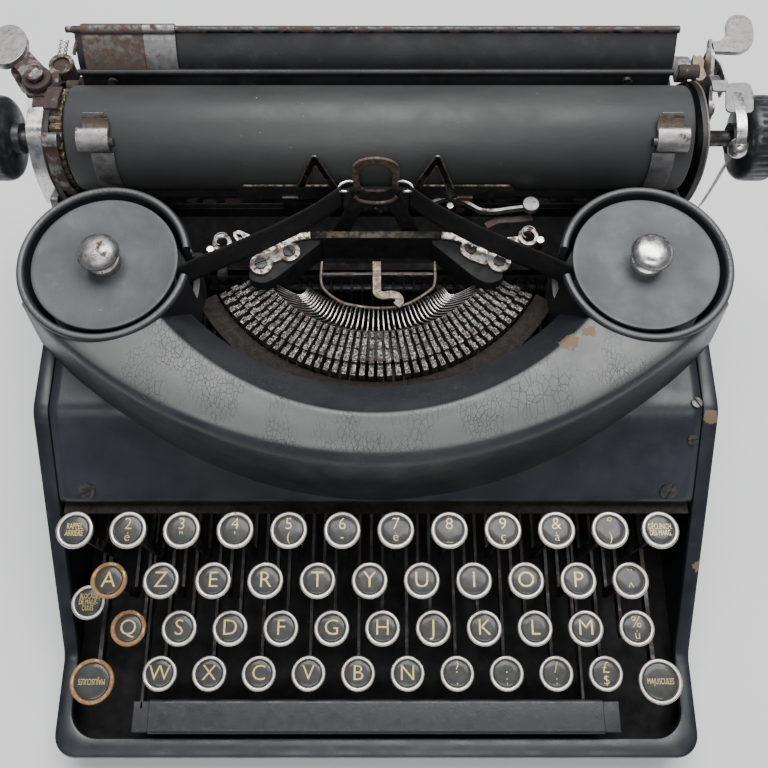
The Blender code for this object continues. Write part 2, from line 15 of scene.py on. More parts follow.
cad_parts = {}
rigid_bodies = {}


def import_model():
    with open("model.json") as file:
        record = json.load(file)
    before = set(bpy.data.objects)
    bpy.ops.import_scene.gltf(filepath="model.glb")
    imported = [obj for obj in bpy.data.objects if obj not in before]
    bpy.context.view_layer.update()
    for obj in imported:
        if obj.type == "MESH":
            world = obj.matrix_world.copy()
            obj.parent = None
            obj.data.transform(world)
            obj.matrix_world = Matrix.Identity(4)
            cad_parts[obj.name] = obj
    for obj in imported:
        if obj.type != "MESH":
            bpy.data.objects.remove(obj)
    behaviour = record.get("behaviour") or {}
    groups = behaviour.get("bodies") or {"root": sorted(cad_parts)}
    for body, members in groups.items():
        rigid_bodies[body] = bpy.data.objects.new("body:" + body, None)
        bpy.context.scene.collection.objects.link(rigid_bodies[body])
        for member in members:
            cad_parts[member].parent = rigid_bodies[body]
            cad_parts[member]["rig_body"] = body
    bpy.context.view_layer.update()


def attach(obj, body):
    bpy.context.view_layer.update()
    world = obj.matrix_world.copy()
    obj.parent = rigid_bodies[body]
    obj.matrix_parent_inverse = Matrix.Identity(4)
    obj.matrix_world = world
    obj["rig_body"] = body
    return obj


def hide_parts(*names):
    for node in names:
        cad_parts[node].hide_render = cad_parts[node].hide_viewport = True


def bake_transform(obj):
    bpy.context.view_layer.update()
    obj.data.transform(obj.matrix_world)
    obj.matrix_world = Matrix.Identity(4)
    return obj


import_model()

MM = 0.001

# Body
HALF_WIDTH = 125.0
HALF_DEPTH = 138.75
CORNER = 9.0
WALL = 2.5
FOOT_HEIGHT = 7.0
RAIL_TOP = 22.0
DECK_TOP = 86.4
SLOPE_FOOT_Y = -101.0
SLOPE_HEAD_Y = -19.6
BEND_REACH = 2.5
WELL_X = 119.0
WELL_FRONT = -131.5
WELL_REAR = 133.0
WELL_CORNER = 10.5

# Keyboard
KEY_PITCH = 19.05
KEY_RADIUS = 6.675
SHIFT_RADIUS = 8.45
FULCRUM_Y = 62.0
FULCRUM_Z = 24.0
ROW_Y = (-61.45, -77.05, -92.65, -108.25)
ROW_Z = (77.6, 62.9, 48.3, 33.7)
ROW_FIRST_X = (-88.05, -97.5, -92.8, -83.2)
SHIFT_X = 108.9
SHIFT_Y = -111.2

# Spools and cover
SPOOL_X = 93.75
SPOOL_Y = 23.45
SPOOL_TOP = 118.0
CUP_INNER = 27.3
CUP_OUTER = 29.9
CUP_TOP = 119.7
COVER_Y = 72.0
FOOT_ARC = (122.1, 169.8)
SHOULDER_ARC = (116.5, 162.0)
INNER_TOP_ARC = (68.2, 97.0)
INNER_LOW_ARC = (76.9, 92.7)
COVER_SWEEP = radians(62.6)
INNER_LOW_Z = 100.0

# Type basket
TYPE_POINT_Y = 58.9
TYPEBARS = 42
BASKET_HALF_ANGLE = radians(57.7)

# Carriage
PLATEN_Y = 78.75
PLATEN_Z = 113.0
PLATEN_RADIUS = 18.8
RETURN_PIVOT = (-126.0, 98.0)
RELEASE_PIVOT = (92.0, 113.0)


# ---------------------------------------------------------------- finishes
class Finish:
    """A procedural material whose patterns are laid out in millimetres on the object."""

    def __init__(self, name):
        self.material = bpy.data.materials.new(name)
        self.material.use_nodes = True
        self.tree = self.material.node_tree
        self.shader = self.tree.nodes["Principled BSDF"]
        coordinates = self.tree.nodes.new("ShaderNodeTexCoord")
        scaled = self.tree.nodes.new("ShaderNodeVectorMath")
        scaled.operation = "SCALE"
        scaled.inputs["Scale"].default_value = 1 / MM
        self.tree.links.new(coordinates.outputs["Object"], scaled.inputs[0])
        self.place = scaled.outputs[0]

    def feed(self, value, socket):
        if isinstance(value, bpy.types.NodeSocket):
            self.tree.links.new(value, socket)
        else:
            socket.default_value = value

    def stretched(self, stretch):
        made = self.tree.nodes.new("ShaderNodeVectorMath")
        made.operation = "MULTIPLY"
        self.tree.links.new(self.place, made.inputs[0])
        made.inputs[1].default_value = stretch
        return made.outputs[0]

    def noise(self, size, detail=4.0, roughness=0.55, stretch=(1, 1, 1)):
        made = self.tree.nodes.new("ShaderNodeTexNoise")
        self.tree.links.new(self.stretched(stretch), made.inputs["Vector"])
        made.inputs["Scale"].default_value = 1 / size
        made.inputs["Detail"].default_value = detail
        made.inputs["Roughness"].default_value = roughness
        return made.outputs["Fac"]

    def cells(self, size, feature="F1", stretch=(1, 1, 1)):
        made = self.tree.nodes.new("ShaderNodeTexVoronoi")
        made.feature = feature
        self.tree.links.new(self.stretched(stretch), made.inputs["Vector"])
        made.inputs["Scale"].default_value = 1 / size
        return made.outputs["Distance"]

    def ramp(self, value, low, high, start=0.0, end=1.0):
        made = self.tree.nodes.new("ShaderNodeMapRange")
        made.interpolation_type = "SMOOTHSTEP"
        self.feed(value, made.inputs["Value"])
        made.inputs["From Min"].default_value = low
        made.inputs["From Max"].default_value = high
        made.inputs["To Min"].default_value = start
        made.inputs["To Max"].default_value = end
        return made.outputs["Result"]

    def math(self, operation, first, second=0.0):
        made = self.tree.nodes.new("ShaderNodeMath")
        made.operation = operation
        self.feed(first, made.inputs[0])
        self.feed(second, made.inputs[1])
        return made.outputs[0]

    def times(self, first, second):
        return self.math("MULTIPLY", first, second)

    def mix(self, factor, first, second):
        """A colour between two colours, each three numbers or a socket."""
        made = self.tree.nodes.new("ShaderNodeMix")
        made.data_type = "RGBA"
        self.feed(factor, made.inputs[0])
        for socket, value in ((made.inputs[6], first), (made.inputs[7], second)):
            self.feed(value if isinstance(value, bpy.types.NodeSocket) else (*value, 1.0), socket)
        return made.outputs[2]

    def mix_value(self, factor, first, second):
        made = self.tree.nodes.new("ShaderNodeMix")
        self.feed(factor, made.inputs[0])
        self.feed(first, made.inputs[2])
        self.feed(second, made.inputs[3])
        return made.outputs[0]

    def spot(self, centre, radius):
        """A patch with a ragged edge round a point in millimetres."""
        made = self.tree.nodes.new("ShaderNodeVectorMath")
        made.operation = "DISTANCE"
        self.tree.links.new(self.place, made.inputs[0])
        made.inputs[1].default_value = centre
        ragged_edge = self.times(self.noise(radius * 0.45, 5.0), radius)
        distance = self.math("ADD", made.outputs["Value"], ragged_edge)
        return self.ramp(distance, radius * 1.08, radius, 0.0, 1.0)

    def height(self):
        made = self.tree.nodes.new("ShaderNodeSeparateXYZ")
        self.tree.links.new(self.place, made.inputs[0])
        return made.outputs["Z"]

    def upward(self):
        """How far the surface faces up: 1 when level, 0 when upright."""
        where = self.tree.nodes.new("ShaderNodeNewGeometry")
        made = self.tree.nodes.new("ShaderNodeSeparateXYZ")
        self.tree.links.new(where.outputs["Normal"], made.inputs[0])
        return made.outputs["Z"]

    def bump(self, height, depth, normal=None):
        made = self.tree.nodes.new("ShaderNodeBump")
        made.inputs["Strength"].default_value = 1.0
        made.inputs["Distance"].default_value = depth * MM
        self.feed(height, made.inputs["Height"])
        if normal:
            self.tree.links.new(normal, made.inputs["Normal"])
        return made.outputs["Normal"]

    def set(self, **values):
        """Principled inputs by name, with underscores for spaces."""
        for name, value in values.items():
            socket = self.shader.inputs[name.replace("_", " ")]
            if socket.type == "RGBA" and not isinstance(value, bpy.types.NodeSocket):
                value = (*value, 1.0)
            self.feed(value, socket)
        return self.material


def specks(finish, size, share):
    """Scattered grains: a few of the cells hold a small round spot."""
    near = finish.ramp(finish.cells(size), 0.085, 0.05)
    chosen = finish.ramp(finish.noise(size * 1.3, 3.0, 0.8), 0.66 - share, 0.70 - share)
    return finish.times(near, chosen)


def enamel(name, colour, bloom, roughness, crazing=0.0, dust=0.5, chips=(), fade_and_painted_sheen=None):
    """Old black enamel with a grey bloom, dust and, where asked, crazing, chips to the primer and a painted
    sheen that lightens level faces.
    """
    finish = Finish(name)
    cloud = finish.noise(34.0, 6.0, 0.6)
    colours = finish.mix(finish.ramp(cloud, 0.36, 0.66), colour, bloom)
    # Painted sheen: faces that look up are lightened towards this colour, standing in for the overhead
    # light's reflection.
    if fade_and_painted_sheen:
        colours = finish.mix(finish.ramp(finish.upward(), 0.80, 0.95), colours, fade_and_painted_sheen)
    grain = finish.noise(1.1, 3.0, 0.6)
    normal = finish.bump(grain, 0.035)
    if crazing:
        veins = finish.ramp(finish.cells(3.2, "DISTANCE_TO_EDGE", (1.5, 0.8, 1)), 0.034, 0.008)
        fine_veins = finish.ramp(finish.cells(1.9, "DISTANCE_TO_EDGE", (1.4, 0.8, 1)), 0.045, 0.01)
        patches = finish.ramp(finish.noise(26.0, 3.0), 0.46, 0.64)
        fine_patches = finish.ramp(finish.noise(19.0, 3.0, stretch=(1, 0.8, 1)), 0.44, 0.62)
        lines = finish.math("MAXIMUM", finish.times(veins, patches), finish.times(fine_veins, fine_patches))
        colours = finish.mix(finish.times(lines, crazing), colours, (0.030, 0.031, 0.032))
        normal = finish.bump(lines, -0.06, normal)
    dusty = finish.times(finish.ramp(finish.noise(7.0, 8.0, 0.7), 0.52, 0.78), 0.35 * dust)
    colours = finish.mix(dusty, colours, (0.20, 0.19, 0.175))
    colours = finish.mix(finish.times(specks(finish, 3.1, 0.06), dust), colours, (0.34, 0.33, 0.31))
    shine = finish.ramp(finish.noise(12.0, 5.0), 0.3, 0.7, roughness - 0.05, roughness + 0.09)
    for centre, radius in chips:
        chip = finish.spot(centre, radius)
        colours = finish.mix(chip, colours, (0.17, 0.115, 0.075))
        shine = finish.mix_value(chip, shine, 0.8)
    return finish.set(Base_Color=colours, Roughness=shine, Normal=normal, Specular_IOR_Level=0.55)


def plated(name, metal, roughness, rust=0.3, pits=0.4, rust_colour=(0.062, 0.036, 0.025), scale=6.0):
    """Nickel or steel with rust that spreads from noise and dark pits."""
    finish = Finish(name)
    spread = finish.noise(scale, 7.0, 0.62)
    rusty = finish.ramp(spread, 0.70 - 0.45 * rust, 0.78 - 0.38 * rust)
    pitted = finish.times(
        finish.ramp(finish.cells(1.5), 0.26, 0.12), finish.ramp(finish.noise(4.0, 3.0), 0.5, 0.62)
    )
    worn = finish.math("MAXIMUM", rusty, finish.times(pitted, pits))
    tone = finish.ramp(finish.noise(2.4, 6.0), 0.3, 0.7)
    clean = finish.mix(tone, metal, [c * 0.72 for c in metal])
    stain = finish.mix(
        finish.noise(1.3, 6.0, 0.7), [c * 0.5 for c in rust_colour], [c * 2.0 for c in rust_colour]
    )
    rough = finish.ramp(finish.noise(3.0, 5.0), 0.3, 0.7, roughness - 0.06, roughness + 0.14)
    return finish.set(
        Base_Color=finish.mix(worn, clean, stain),
        Metallic=finish.ramp(worn, 0.0, 1.0, 1.0, 0.15),
        Roughness=finish.mix_value(worn, rough, 0.82),
        Normal=finish.bump(finish.math("ADD", finish.noise(0.8, 3.0), worn), 0.03),
    )


def rubber():
    finish = Finish("platen_rubber_looks")
    cloud = finish.noise(40.0, 6.0, 0.6, stretch=(0.35, 1, 1))
    colours = finish.mix(finish.ramp(cloud, 0.35, 0.68), (0.036, 0.037, 0.037), (0.056, 0.057, 0.056))
    scuffs = finish.ramp(finish.noise(9.0, 9.0, 0.75, stretch=(0.2, 1.5, 1.5)), 0.60, 0.80, 0.0, 0.30)
    colours = finish.mix(scuffs, colours, (0.13, 0.128, 0.12))
    colours = finish.mix(specks(finish, 2.2, 0.10), colours, (0.26, 0.25, 0.22))
    colours = finish.mix(specks(finish, 7.0, 0.06), colours, (0.50, 0.47, 0.40))
    normal = finish.bump(finish.noise(1.4, 5.0, stretch=(0.5, 1, 1)), 0.05)
    shine = finish.ramp(finish.noise(16.0, 4.0), 0.3, 0.7, 0.46, 0.62)
    return finish.set(Base_Color=colours, Roughness=shine, Normal=normal, Specular_IOR_Level=0.5)


def moulding():
    finish = Finish("knob_looks")
    dusty = finish.ramp(finish.noise(3.0, 6.0), 0.48, 0.75, 0.0, 0.45)
    colours = finish.mix(dusty, (0.016, 0.017, 0.020), (0.11, 0.112, 0.12))
    return finish.set(
        Base_Color=colours,
        Roughness=finish.ramp(finish.noise(5.0, 4.0), 0.3, 0.7, 0.28, 0.46),
        Normal=finish.bump(finish.noise(0.9, 3.0), 0.02),
    )


def felt(name, colour, second):
    finish = Finish(name)
    mottled = finish.ramp(finish.noise(2.2, 8.0, 0.75), 0.35, 0.68)
    fuzz = finish.noise(0.45, 4.0, 0.8)
    return finish.set(
        Base_Color=finish.mix(mottled, colour, second),
        Roughness=finish.ramp(fuzz, 0.2, 0.8, 0.85, 1.0),
        Normal=finish.bump(fuzz, 0.25),
    )


def cloth():
    finish = Finish("ribbon_cloth")
    across = finish.tree.nodes.new("ShaderNodeTexWave")
    across.bands_direction = "Z"
    finish.tree.links.new(finish.place, across.inputs["Vector"])
    across.inputs["Scale"].default_value = 1.2
    across.inputs["Distortion"].default_value = 0.4
    ink = finish.ramp(finish.noise(6.0, 6.0), 0.4, 0.7)
    colours = finish.mix(ink, (0.008, 0.008, 0.009), (0.022, 0.021, 0.022))
    return finish.set(
        Base_Color=colours,
        Roughness=finish.ramp(finish.noise(0.8, 4.0), 0.2, 0.8, 0.72, 0.95),
        Normal=finish.bump(across.outputs["Fac"], 0.06),
    )


def printed(name, colour, wear):
    """Gold ink under the key's glass."""
    finish = Finish(name)
    fade_and_painted_sheen = finish.ramp(finish.noise(1.3, 5.0), 0.42, 0.7, 0.0, wear)
    return finish.set(
        Base_Color=finish.mix(fade_and_painted_sheen, colour, (0.10, 0.075, 0.035)),
        Roughness=finish.ramp(finish.noise(0.7, 3.0), 0.3, 0.7, 0.30, 0.5),
        Metallic=finish.ramp(fade_and_painted_sheen, 0.0, 1.0, 0.35, 0.0),
        Coat_Weight=0.45,
        Coat_Roughness=0.14,
    )


def glazed(name, colour, stain):
    """The black card of a key under its clear top."""
    finish = Finish(name)
    cloudy = finish.ramp(finish.noise(4.5, 6.0, 0.65), 0.40, 0.75, 0.0, 0.5)
    return finish.set(
        Base_Color=finish.mix(cloudy, colour, stain),
        Roughness=finish.ramp(finish.noise(2.0, 4.0), 0.3, 0.7, 0.45, 0.65),
        Coat_Weight=0.45,
        Coat_Roughness=0.14,
    )


def type_metal():
    """Typebar steel: inked, a little rusty, polished on the high spots."""
    finish = Finish("type_metal_looks")
    inked = finish.ramp(finish.noise(0.9, 7.0, 0.75), 0.36, 0.58)
    rusty = finish.ramp(finish.noise(6.0, 6.0, 0.65), 0.50, 0.68)
    tone = finish.mix(rusty, (0.34, 0.32, 0.31), (0.13, 0.085, 0.070))
    relief = finish.math("ADD", finish.cells(0.75), finish.noise(0.5, 3.0))
    return finish.set(
        Base_Color=finish.mix(inked, tone, (0.022, 0.019, 0.018)),
        Metallic=finish.ramp(inked, 0.0, 1.0, 0.95, 0.25),
        Roughness=finish.ramp(finish.noise(0.9, 4.0), 0.3, 0.7, 0.24, 0.52),
        Normal=finish.bump(relief, 0.22),
    )


def shellac(name, colour, edge_z, edge_depth, edge_colour, roughness=0.4, dust=0.4):
    """Black paint that has worn through along an upper edge at height edge_z."""
    finish = Finish(name)
    upper = finish.ramp(finish.height(), edge_z - edge_depth, edge_z)
    chipped = finish.times(upper, finish.ramp(finish.noise(3.4, 7.0, 0.7), 0.45, 0.56))
    dusty = finish.ramp(finish.noise(2.6, 8.0, 0.7), 0.50, 0.78, 0.0, dust)
    colours = finish.mix(dusty, colour, (0.085, 0.075, 0.065))
    return finish.set(
        Base_Color=finish.mix(chipped, colours, edge_colour),
        Metallic=finish.times(chipped, 0.7),
        Roughness=finish.ramp(finish.noise(5.0, 4.0), 0.3, 0.7, roughness, roughness + 0.16),
        Normal=finish.bump(finish.math("SUBTRACT", finish.noise(1.0, 4.0), chipped), 0.05),
    )


def fork_iron():
    """The ribbon fork: black legs that turn to brown rust round the loop."""
    finish = Finish("fork_looks")
    ragged = finish.math(
        "ADD", finish.height(), finish.ramp(finish.noise(4.0, 6.0, 0.7), 0.0, 1.0, -5.0, 5.0)
    )
    loop = finish.ramp(ragged, 111.0, 115.5)
    crust = finish.noise(1.6, 7.0, 0.75)
    rusty = finish.mix(finish.ramp(crust, 0.3, 0.7), (0.052, 0.034, 0.028), (0.205, 0.135, 0.108))
    black = finish.mix(
        finish.ramp(finish.noise(3.0, 6.0), 0.5, 0.75), (0.008, 0.007, 0.007), (0.034, 0.022, 0.018)
    )
    return finish.set(
        Base_Color=finish.mix(loop, black, rusty),
        Roughness=finish.ramp(crust, 0.3, 0.7, 0.5, 0.8),
        Metallic=finish.ramp(loop, 0.0, 1.0, 0.1, 0.35),
        Normal=finish.bump(crust, 0.09),
    )


def floor_finish():
    finish = Finish("floor_looks")
    tone = finish.ramp(finish.noise(160.0, 4.0), 0.3, 0.7)
    return finish.set(
        Base_Color=finish.mix(tone, (0.86, 0.86, 0.865), (0.90, 0.90, 0.90)),
        Roughness=finish.ramp(finish.noise(40.0, 3.0), 0.3, 0.7, 0.6, 0.7),
    )


CHIP_SPOTS = (((64.5, -6.0, 117.0), 5.5), ((71.5, -3.0, 117.0), 4.5), ((85.0, 3.0, 117.5), 3.4))
SIDE_CHIPS = (((122.0, -22.0, 85.0), 5.0), ((-122.5, 30.0, 86.0), 4.0), ((124.0, -70.0, 47.0), 4.0))
# The crescent's last colour is a painted sheen laid on its level faces and cup rims.
COVER_ENAMEL = enamel(
    "cover_enamel_looks", (0.020, 0.022, 0.027), (0.034, 0.036, 0.040), 0.40, 0.8, 0.22, CHIP_SPOTS,
    (0.098, 0.100, 0.097)
)
PANEL_ENAMEL = enamel(
    "panel_enamel_looks", (0.018, 0.021, 0.027), (0.032, 0.036, 0.044), 0.36, 0.0, 0.25, SIDE_CHIPS
)
FRAME_ENAMEL = enamel(
    "frame_enamel_looks", (0.008, 0.010, 0.014), (0.018, 0.021, 0.027), 0.38, 0.0, 0.30, SIDE_CHIPS
)
CARRIAGE_ENAMEL = enamel(
    "carriage_enamel_looks", (0.006, 0.006, 0.007), (0.013, 0.013, 0.015), 0.48, 0.0, 0.3
)
SPOOL_PAINT = enamel("spool_looks", (0.040, 0.045, 0.047), (0.062, 0.068, 0.072), 0.46, 0.0, 0.6)
RUBBER = rubber()
MOULDING = moulding()
BRIGHT_NICKEL = plated("bright_nickel_looks", (0.82, 0.79, 0.76), 0.26, 0.06, 0.8)
NICKEL = plated("nickel_looks", (0.44, 0.42, 0.41), 0.42, 0.32, 1.0)
STAINED_NICKEL = plated(
    "stained_nickel_looks", (0.26, 0.25, 0.24), 0.46, 0.66, 0.9, (0.055, 0.032, 0.026), 3.6
)
SATIN_NICKEL = plated("satin_nickel_looks", (0.32, 0.31, 0.31), 0.46, 0.24, 0.7)
RING_NICKEL = plated("ring_nickel_looks", (0.84, 0.79, 0.71), 0.40, 0.14, 0.4, (0.26, 0.19, 0.12), 2.6)
AMBER_RING = plated("amber_ring_looks", (0.62, 0.44, 0.24), 0.42, 0.66, 0.4, (0.24, 0.125, 0.05), 2.6)
STEEL = plated("dark_steel_looks", (0.13, 0.125, 0.125), 0.44, 0.42, 0.4, (0.045, 0.030, 0.024))
LEVER_STEEL = plated(
    "lever_steel_looks", (0.075, 0.072, 0.074), 0.50, 0.50, 0.3, (0.040, 0.026, 0.022), 9.0
)
RIB_STEEL = plated("rib_steel_looks", (0.52, 0.50, 0.47), 0.24, 0.22, 0.5)
RUST = plated("rusty_iron_looks", (0.15, 0.13, 0.12), 0.55, 0.80, 0.6, (0.040, 0.027, 0.023), 2.6)
FORK_LOOKS = fork_iron()
BRASS = plated("brass_looks", (0.30, 0.26, 0.19), 0.40, 0.60, 0.8, (0.050, 0.036, 0.026), 2.2)
TYPE_METAL = type_metal()
BRACKET_NICKEL = plated(
    "bracket_nickel_looks", (0.58, 0.56, 0.52), 0.46, 0.50, 1.0, (0.13, 0.080, 0.050), 2.0
)
BRIDGE_PAINT = shellac(
    "bridge_paint_looks", (0.004, 0.004, 0.005), 100.15, 0.5, (0.16, 0.12, 0.075), 0.66, 0.2
)
BAR_PAINT = shellac("bar_paint_looks", (0.016, 0.017, 0.022), 40.0, 1.0, (0.1, 0.1, 0.1), 0.34)
SHADE_PAINT = shellac("shade_paint_looks", (0.014, 0.014, 0.017), 60.0, 1.0, (0.1, 0.1, 0.1), 0.45)
HEM_PAINT = plated("hem_looks", (0.10, 0.10, 0.105), 0.40, 0.55, 0.5, (0.060, 0.040, 0.034), 5.0)
GUIDE_RUST = plated("guide_rust_looks", (0.20, 0.185, 0.17), 0.55, 0.62, 0.9, (0.078, 0.048, 0.036), 2.4)
FRAME_RUST = plated("frame_rust_looks", (0.22, 0.19, 0.16), 0.5, 0.5, 0.6, (0.090, 0.060, 0.042), 2.2)
LINK_STEEL = plated("link_steel_looks", (0.30, 0.27, 0.22), 0.55, 0.52, 0.9, (0.16, 0.11, 0.075), 1.8)
WIRE_STEEL = plated("wire_steel_looks", (0.36, 0.33, 0.30), 0.40, 0.40, 0.6, (0.10, 0.070, 0.052), 1.6)
FINGER_BLACK = plated(
    "finger_black_looks", (0.040, 0.034, 0.030), 0.50, 0.45, 0.4, (0.030, 0.020, 0.016), 3.0
)
# Near-black pan: painted shade inside the body, hiding the bright floor beneath.
PAN_PAINTED_SHADE = shellac("pan_painted_shade_looks", (0.004, 0.004, 0.005), 60.0, 1.0, (0.1, 0.1, 0.1), 0.8, 0.12)
EDGE_PAINT = shellac("edge_paint_looks", (0.15, 0.13, 0.11), 125.0, 60.0, (0.22, 0.19, 0.16), 0.5)
SCALE_PAINT = shellac("scale_paint_looks", (0.010, 0.009, 0.009), 112.7, 0.5, (0.26, 0.22, 0.17))
BROWN_FELT = felt("brown_felt", (0.009, 0.007, 0.006), (0.034, 0.025, 0.020))
TAN_FELT = felt("tan_felt", (0.24, 0.17, 0.11), (0.46, 0.36, 0.27))
FOOT_RUBBER = felt("foot_rubber", (0.014, 0.014, 0.015), (0.030, 0.029, 0.028))
CLOTH = cloth()
GOLD_INK = printed("gold_ink", (0.70, 0.55, 0.22), 0.35)
KEY_CARD = glazed("key_card", (0.020, 0.020, 0.019), (0.055, 0.052, 0.047))
AMBER_CARD = glazed("amber_card", (0.026, 0.020, 0.014), (0.085, 0.056, 0.028))


# ---------------------------------------------------------------- shapes: (points, faces) in millimetres
def placed(axis, u, v, along):
    if axis == "X":
        return (along, u, v)
    if axis == "Y":
        return (u, along, v)
    return (u, v, along)


def prism(axis, outline, low, high):
    """An outline swept straight: (y, z) along X, (x, z) along Y or (x, y) along Z."""
    count = len(outline)
    points = [placed(axis, u, v, low) for u, v in outline]
    points += [placed(axis, u, v, high) for u, v in outline]
    faces = [tuple(range(count)), tuple(range(count, 2 * count))]
    for i in range(count):
        j = (i + 1) % count
        faces.append((i, j, j + count, i + count))
    return points, faces


def box(x0, x1, y0, y1, z0, z1):
    return prism("Z", [(x0, y0), (x1, y0), (x1, y1), (x0, y1)], z0, z1)


def loft(sections, closed_path=False, closed_section=True, caps=True):
    """Skin over sections with the same number of points."""
    count = len(sections[0])
    points = [point for section in sections for point in section]
    faces = []
    spans = len(sections) if closed_path else len(sections) - 1
    around = count if closed_section else count - 1
    for s in range(spans):
        first = s * count
        second = ((s + 1) % len(sections)) * count
        for i in range(around):
            j = (i + 1) % count
            faces.append((first + i, first + j, second + j, second + i))
    if caps and closed_section and not closed_path:
        faces.append(tuple(range(count)))
        faces.append(tuple(range(len(points) - count, len(points))))
    return points, faces


def turned(axis, profile, centre, steps=48, start=0.0, end=2 * pi, closed=False):
    """A profile of (radius, along) turned round an axis; closed makes a ring of it."""
    full = end - start > 2 * pi - 1e-6
    sections = []
    for k in range(steps if full else steps + 1):
        turn = start + (end - start) * k / steps
        section = []
        for radius, along in profile:
            r = max(radius, 0.001)
            section.append(placed(axis, centre[0] + r * cos(turn), centre[1] + r * sin(turn), along))
        sections.append(section)
    return loft(sections, closed_path=full, closed_section=closed, caps=closed)


def rod(axis, centre, radius, low, high, steps=20, rounding=0.3):
    r = min(rounding, radius * 0.6)
    profile = [
        (0, low), (radius - r, low), (radius, low + r), (radius, high - r), (radius - r, high), (0, high)
    ]
    return turned(axis, profile, centre, steps)


def ball(centre, radius, steps=24):
    profile = [
        (radius * sin(pi * k / 12), centre[2] - radius * cos(pi * k / 12)) for k in range(13)
    ]
    return turned("Z", profile, centre[:2], steps)


def arc(centre, radius, start, end, steps):
    return [
        (
            centre[0] + radius * cos(start + (end - start) * k / steps),
            centre[1] + radius * sin(start + (end - start) * k / steps),
        )
        for k in range(steps + 1)
    ]


def rounded(points, radius, steps=4):
    """A closed outline with its corners rounded."""
    made = []
    count = len(points)
    for i, point in enumerate(points):
        here = Vector(point)
        before = Vector(points[i - 1]) - here
        after = Vector(points[(i + 1) % count]) - here
        reach_in = min(radius, before.length * 0.45, after.length * 0.45)
        first = here + before.normalized() * reach_in
        last = here + after.normalized() * reach_in
        for k in range(steps + 1):
            t = k / steps
            made.append(tuple(first.lerp(here, t).lerp(here.lerp(last, t), t)))
    return made


def smooth_path(points, steps=6):
    """A Catmull-Rom curve through points of any dimension."""
    count = len(points)
    path = []
    for i in range(count - 1):
        p = [points[max(0, min(count - 1, i + k - 1))] for k in range(4)]
        for k in range(steps):
            t = k / steps
            path.append(
                tuple(
                    0.5
                    * (
                        2 * b
                        + (c - a) * t
                        + (2 * a - 5 * b + 4 * c - d) * t * t
                        + (3 * b - a - 3 * c + d) * t**3
                    )
                    for a, b, c, d in zip(*p)
                )
            )
    path.append(tuple(points[-1]))
    return path


def tube(path, radius, sides=10):
    """A round wire along a path in space."""
    path = [Vector(p) for p in path]
    side = Vector((0, 0, 1))
    sections = []
    for i, here in enumerate(path):
        along = (path[min(i + 1, len(path) - 1)] - path[max(i - 1, 0)]).normalized()
        side = side - along * side.dot(along)
        if side.length < 1e-4:
            side = along.orthogonal()
        side.normalize()
        across = along.cross(side)
        sections.append(
            [
                tuple(here + (side * cos(2 * pi * k / sides) + across * sin(2 * pi * k / sides)) * radius)
                for k in range(sides)
            ]
        )
    return loft(sections)


def strip(axis, path, thickness, low, high):
    """A flat strip bent along a path in the plane across an axis."""
    left = []
    right = []
    for i, here in enumerate(path):
        before = path[max(i - 1, 0)]
        after = path[min(i + 1, len(path) - 1)]
        length = hypot(after[0] - before[0], after[1] - before[1])
        across = (-(after[1] - before[1]) / length, (after[0] - before[0]) / length)
        left.append((here[0] + across[0] * thickness / 2, here[1] + across[1] * thickness / 2))
        right.append((here[0] - across[0] * thickness / 2, here[1] - across[1] * thickness / 2))
    sections = []
    for a, b in zip(left, right):
        sections.append(
            [placed(axis, *a, low), placed(axis, *b, low), placed(axis, *b, high), placed(axis, *a, high)]
        )
    return loft(sections)


def blade(path, width, depth):
    """A thin plate on edge whose rounded top follows a path in space."""
    sections = []
    for i, here in enumerate(path):
        before = path[max(i - 1, 0)]
        after = path[min(i + 1, len(path) - 1)]
        length = hypot(after[0] - before[0], after[1] - before[1]) or 1.0
        side = (-(after[1] - before[1]) / length, (after[0] - before[0]) / length)
        section = []
        for across, down in (
            (-0.5, depth), (-0.5, width * 0.4), (-0.22, 0), (0.22, 0), (0.5, width * 0.4), (0.5, depth)
        ):
            shift = across * width
            section.append((here[0] + side[0] * shift, here[1] + side[1] * shift, here[2] - down))
        sections.append(section)
    return loft(sections)


def screw_head(x, y, z, radius=2.4, turn=0.6, height=0.9):
    """A slotted cheese-head screw standing on height z, as head halves on a sunk core."""
    half = [(radius * cos(a), radius * sin(a)) for a in (pi * (0.06 + 0.88 * k / 12) for k in range(13))]
    other = [(-u, -v) for u, v in half]
    shapes = []
    for outline in (half, other):
        spun = [(x + u * cos(turn) - v * sin(turn), y + u * sin(turn) + v * cos(turn)) for u, v in outline]
        shapes.append(prism("Z", spun, z - 0.6, z + height))
    shapes.append(rod("Z", (x, y), radius * 0.98, z - 0.8, z + height * 0.45, 16))
    return shapes


def in_place(shape, matrix):
    points, faces = shape
    return [tuple(matrix @ Vector(p)) for p in points], faces


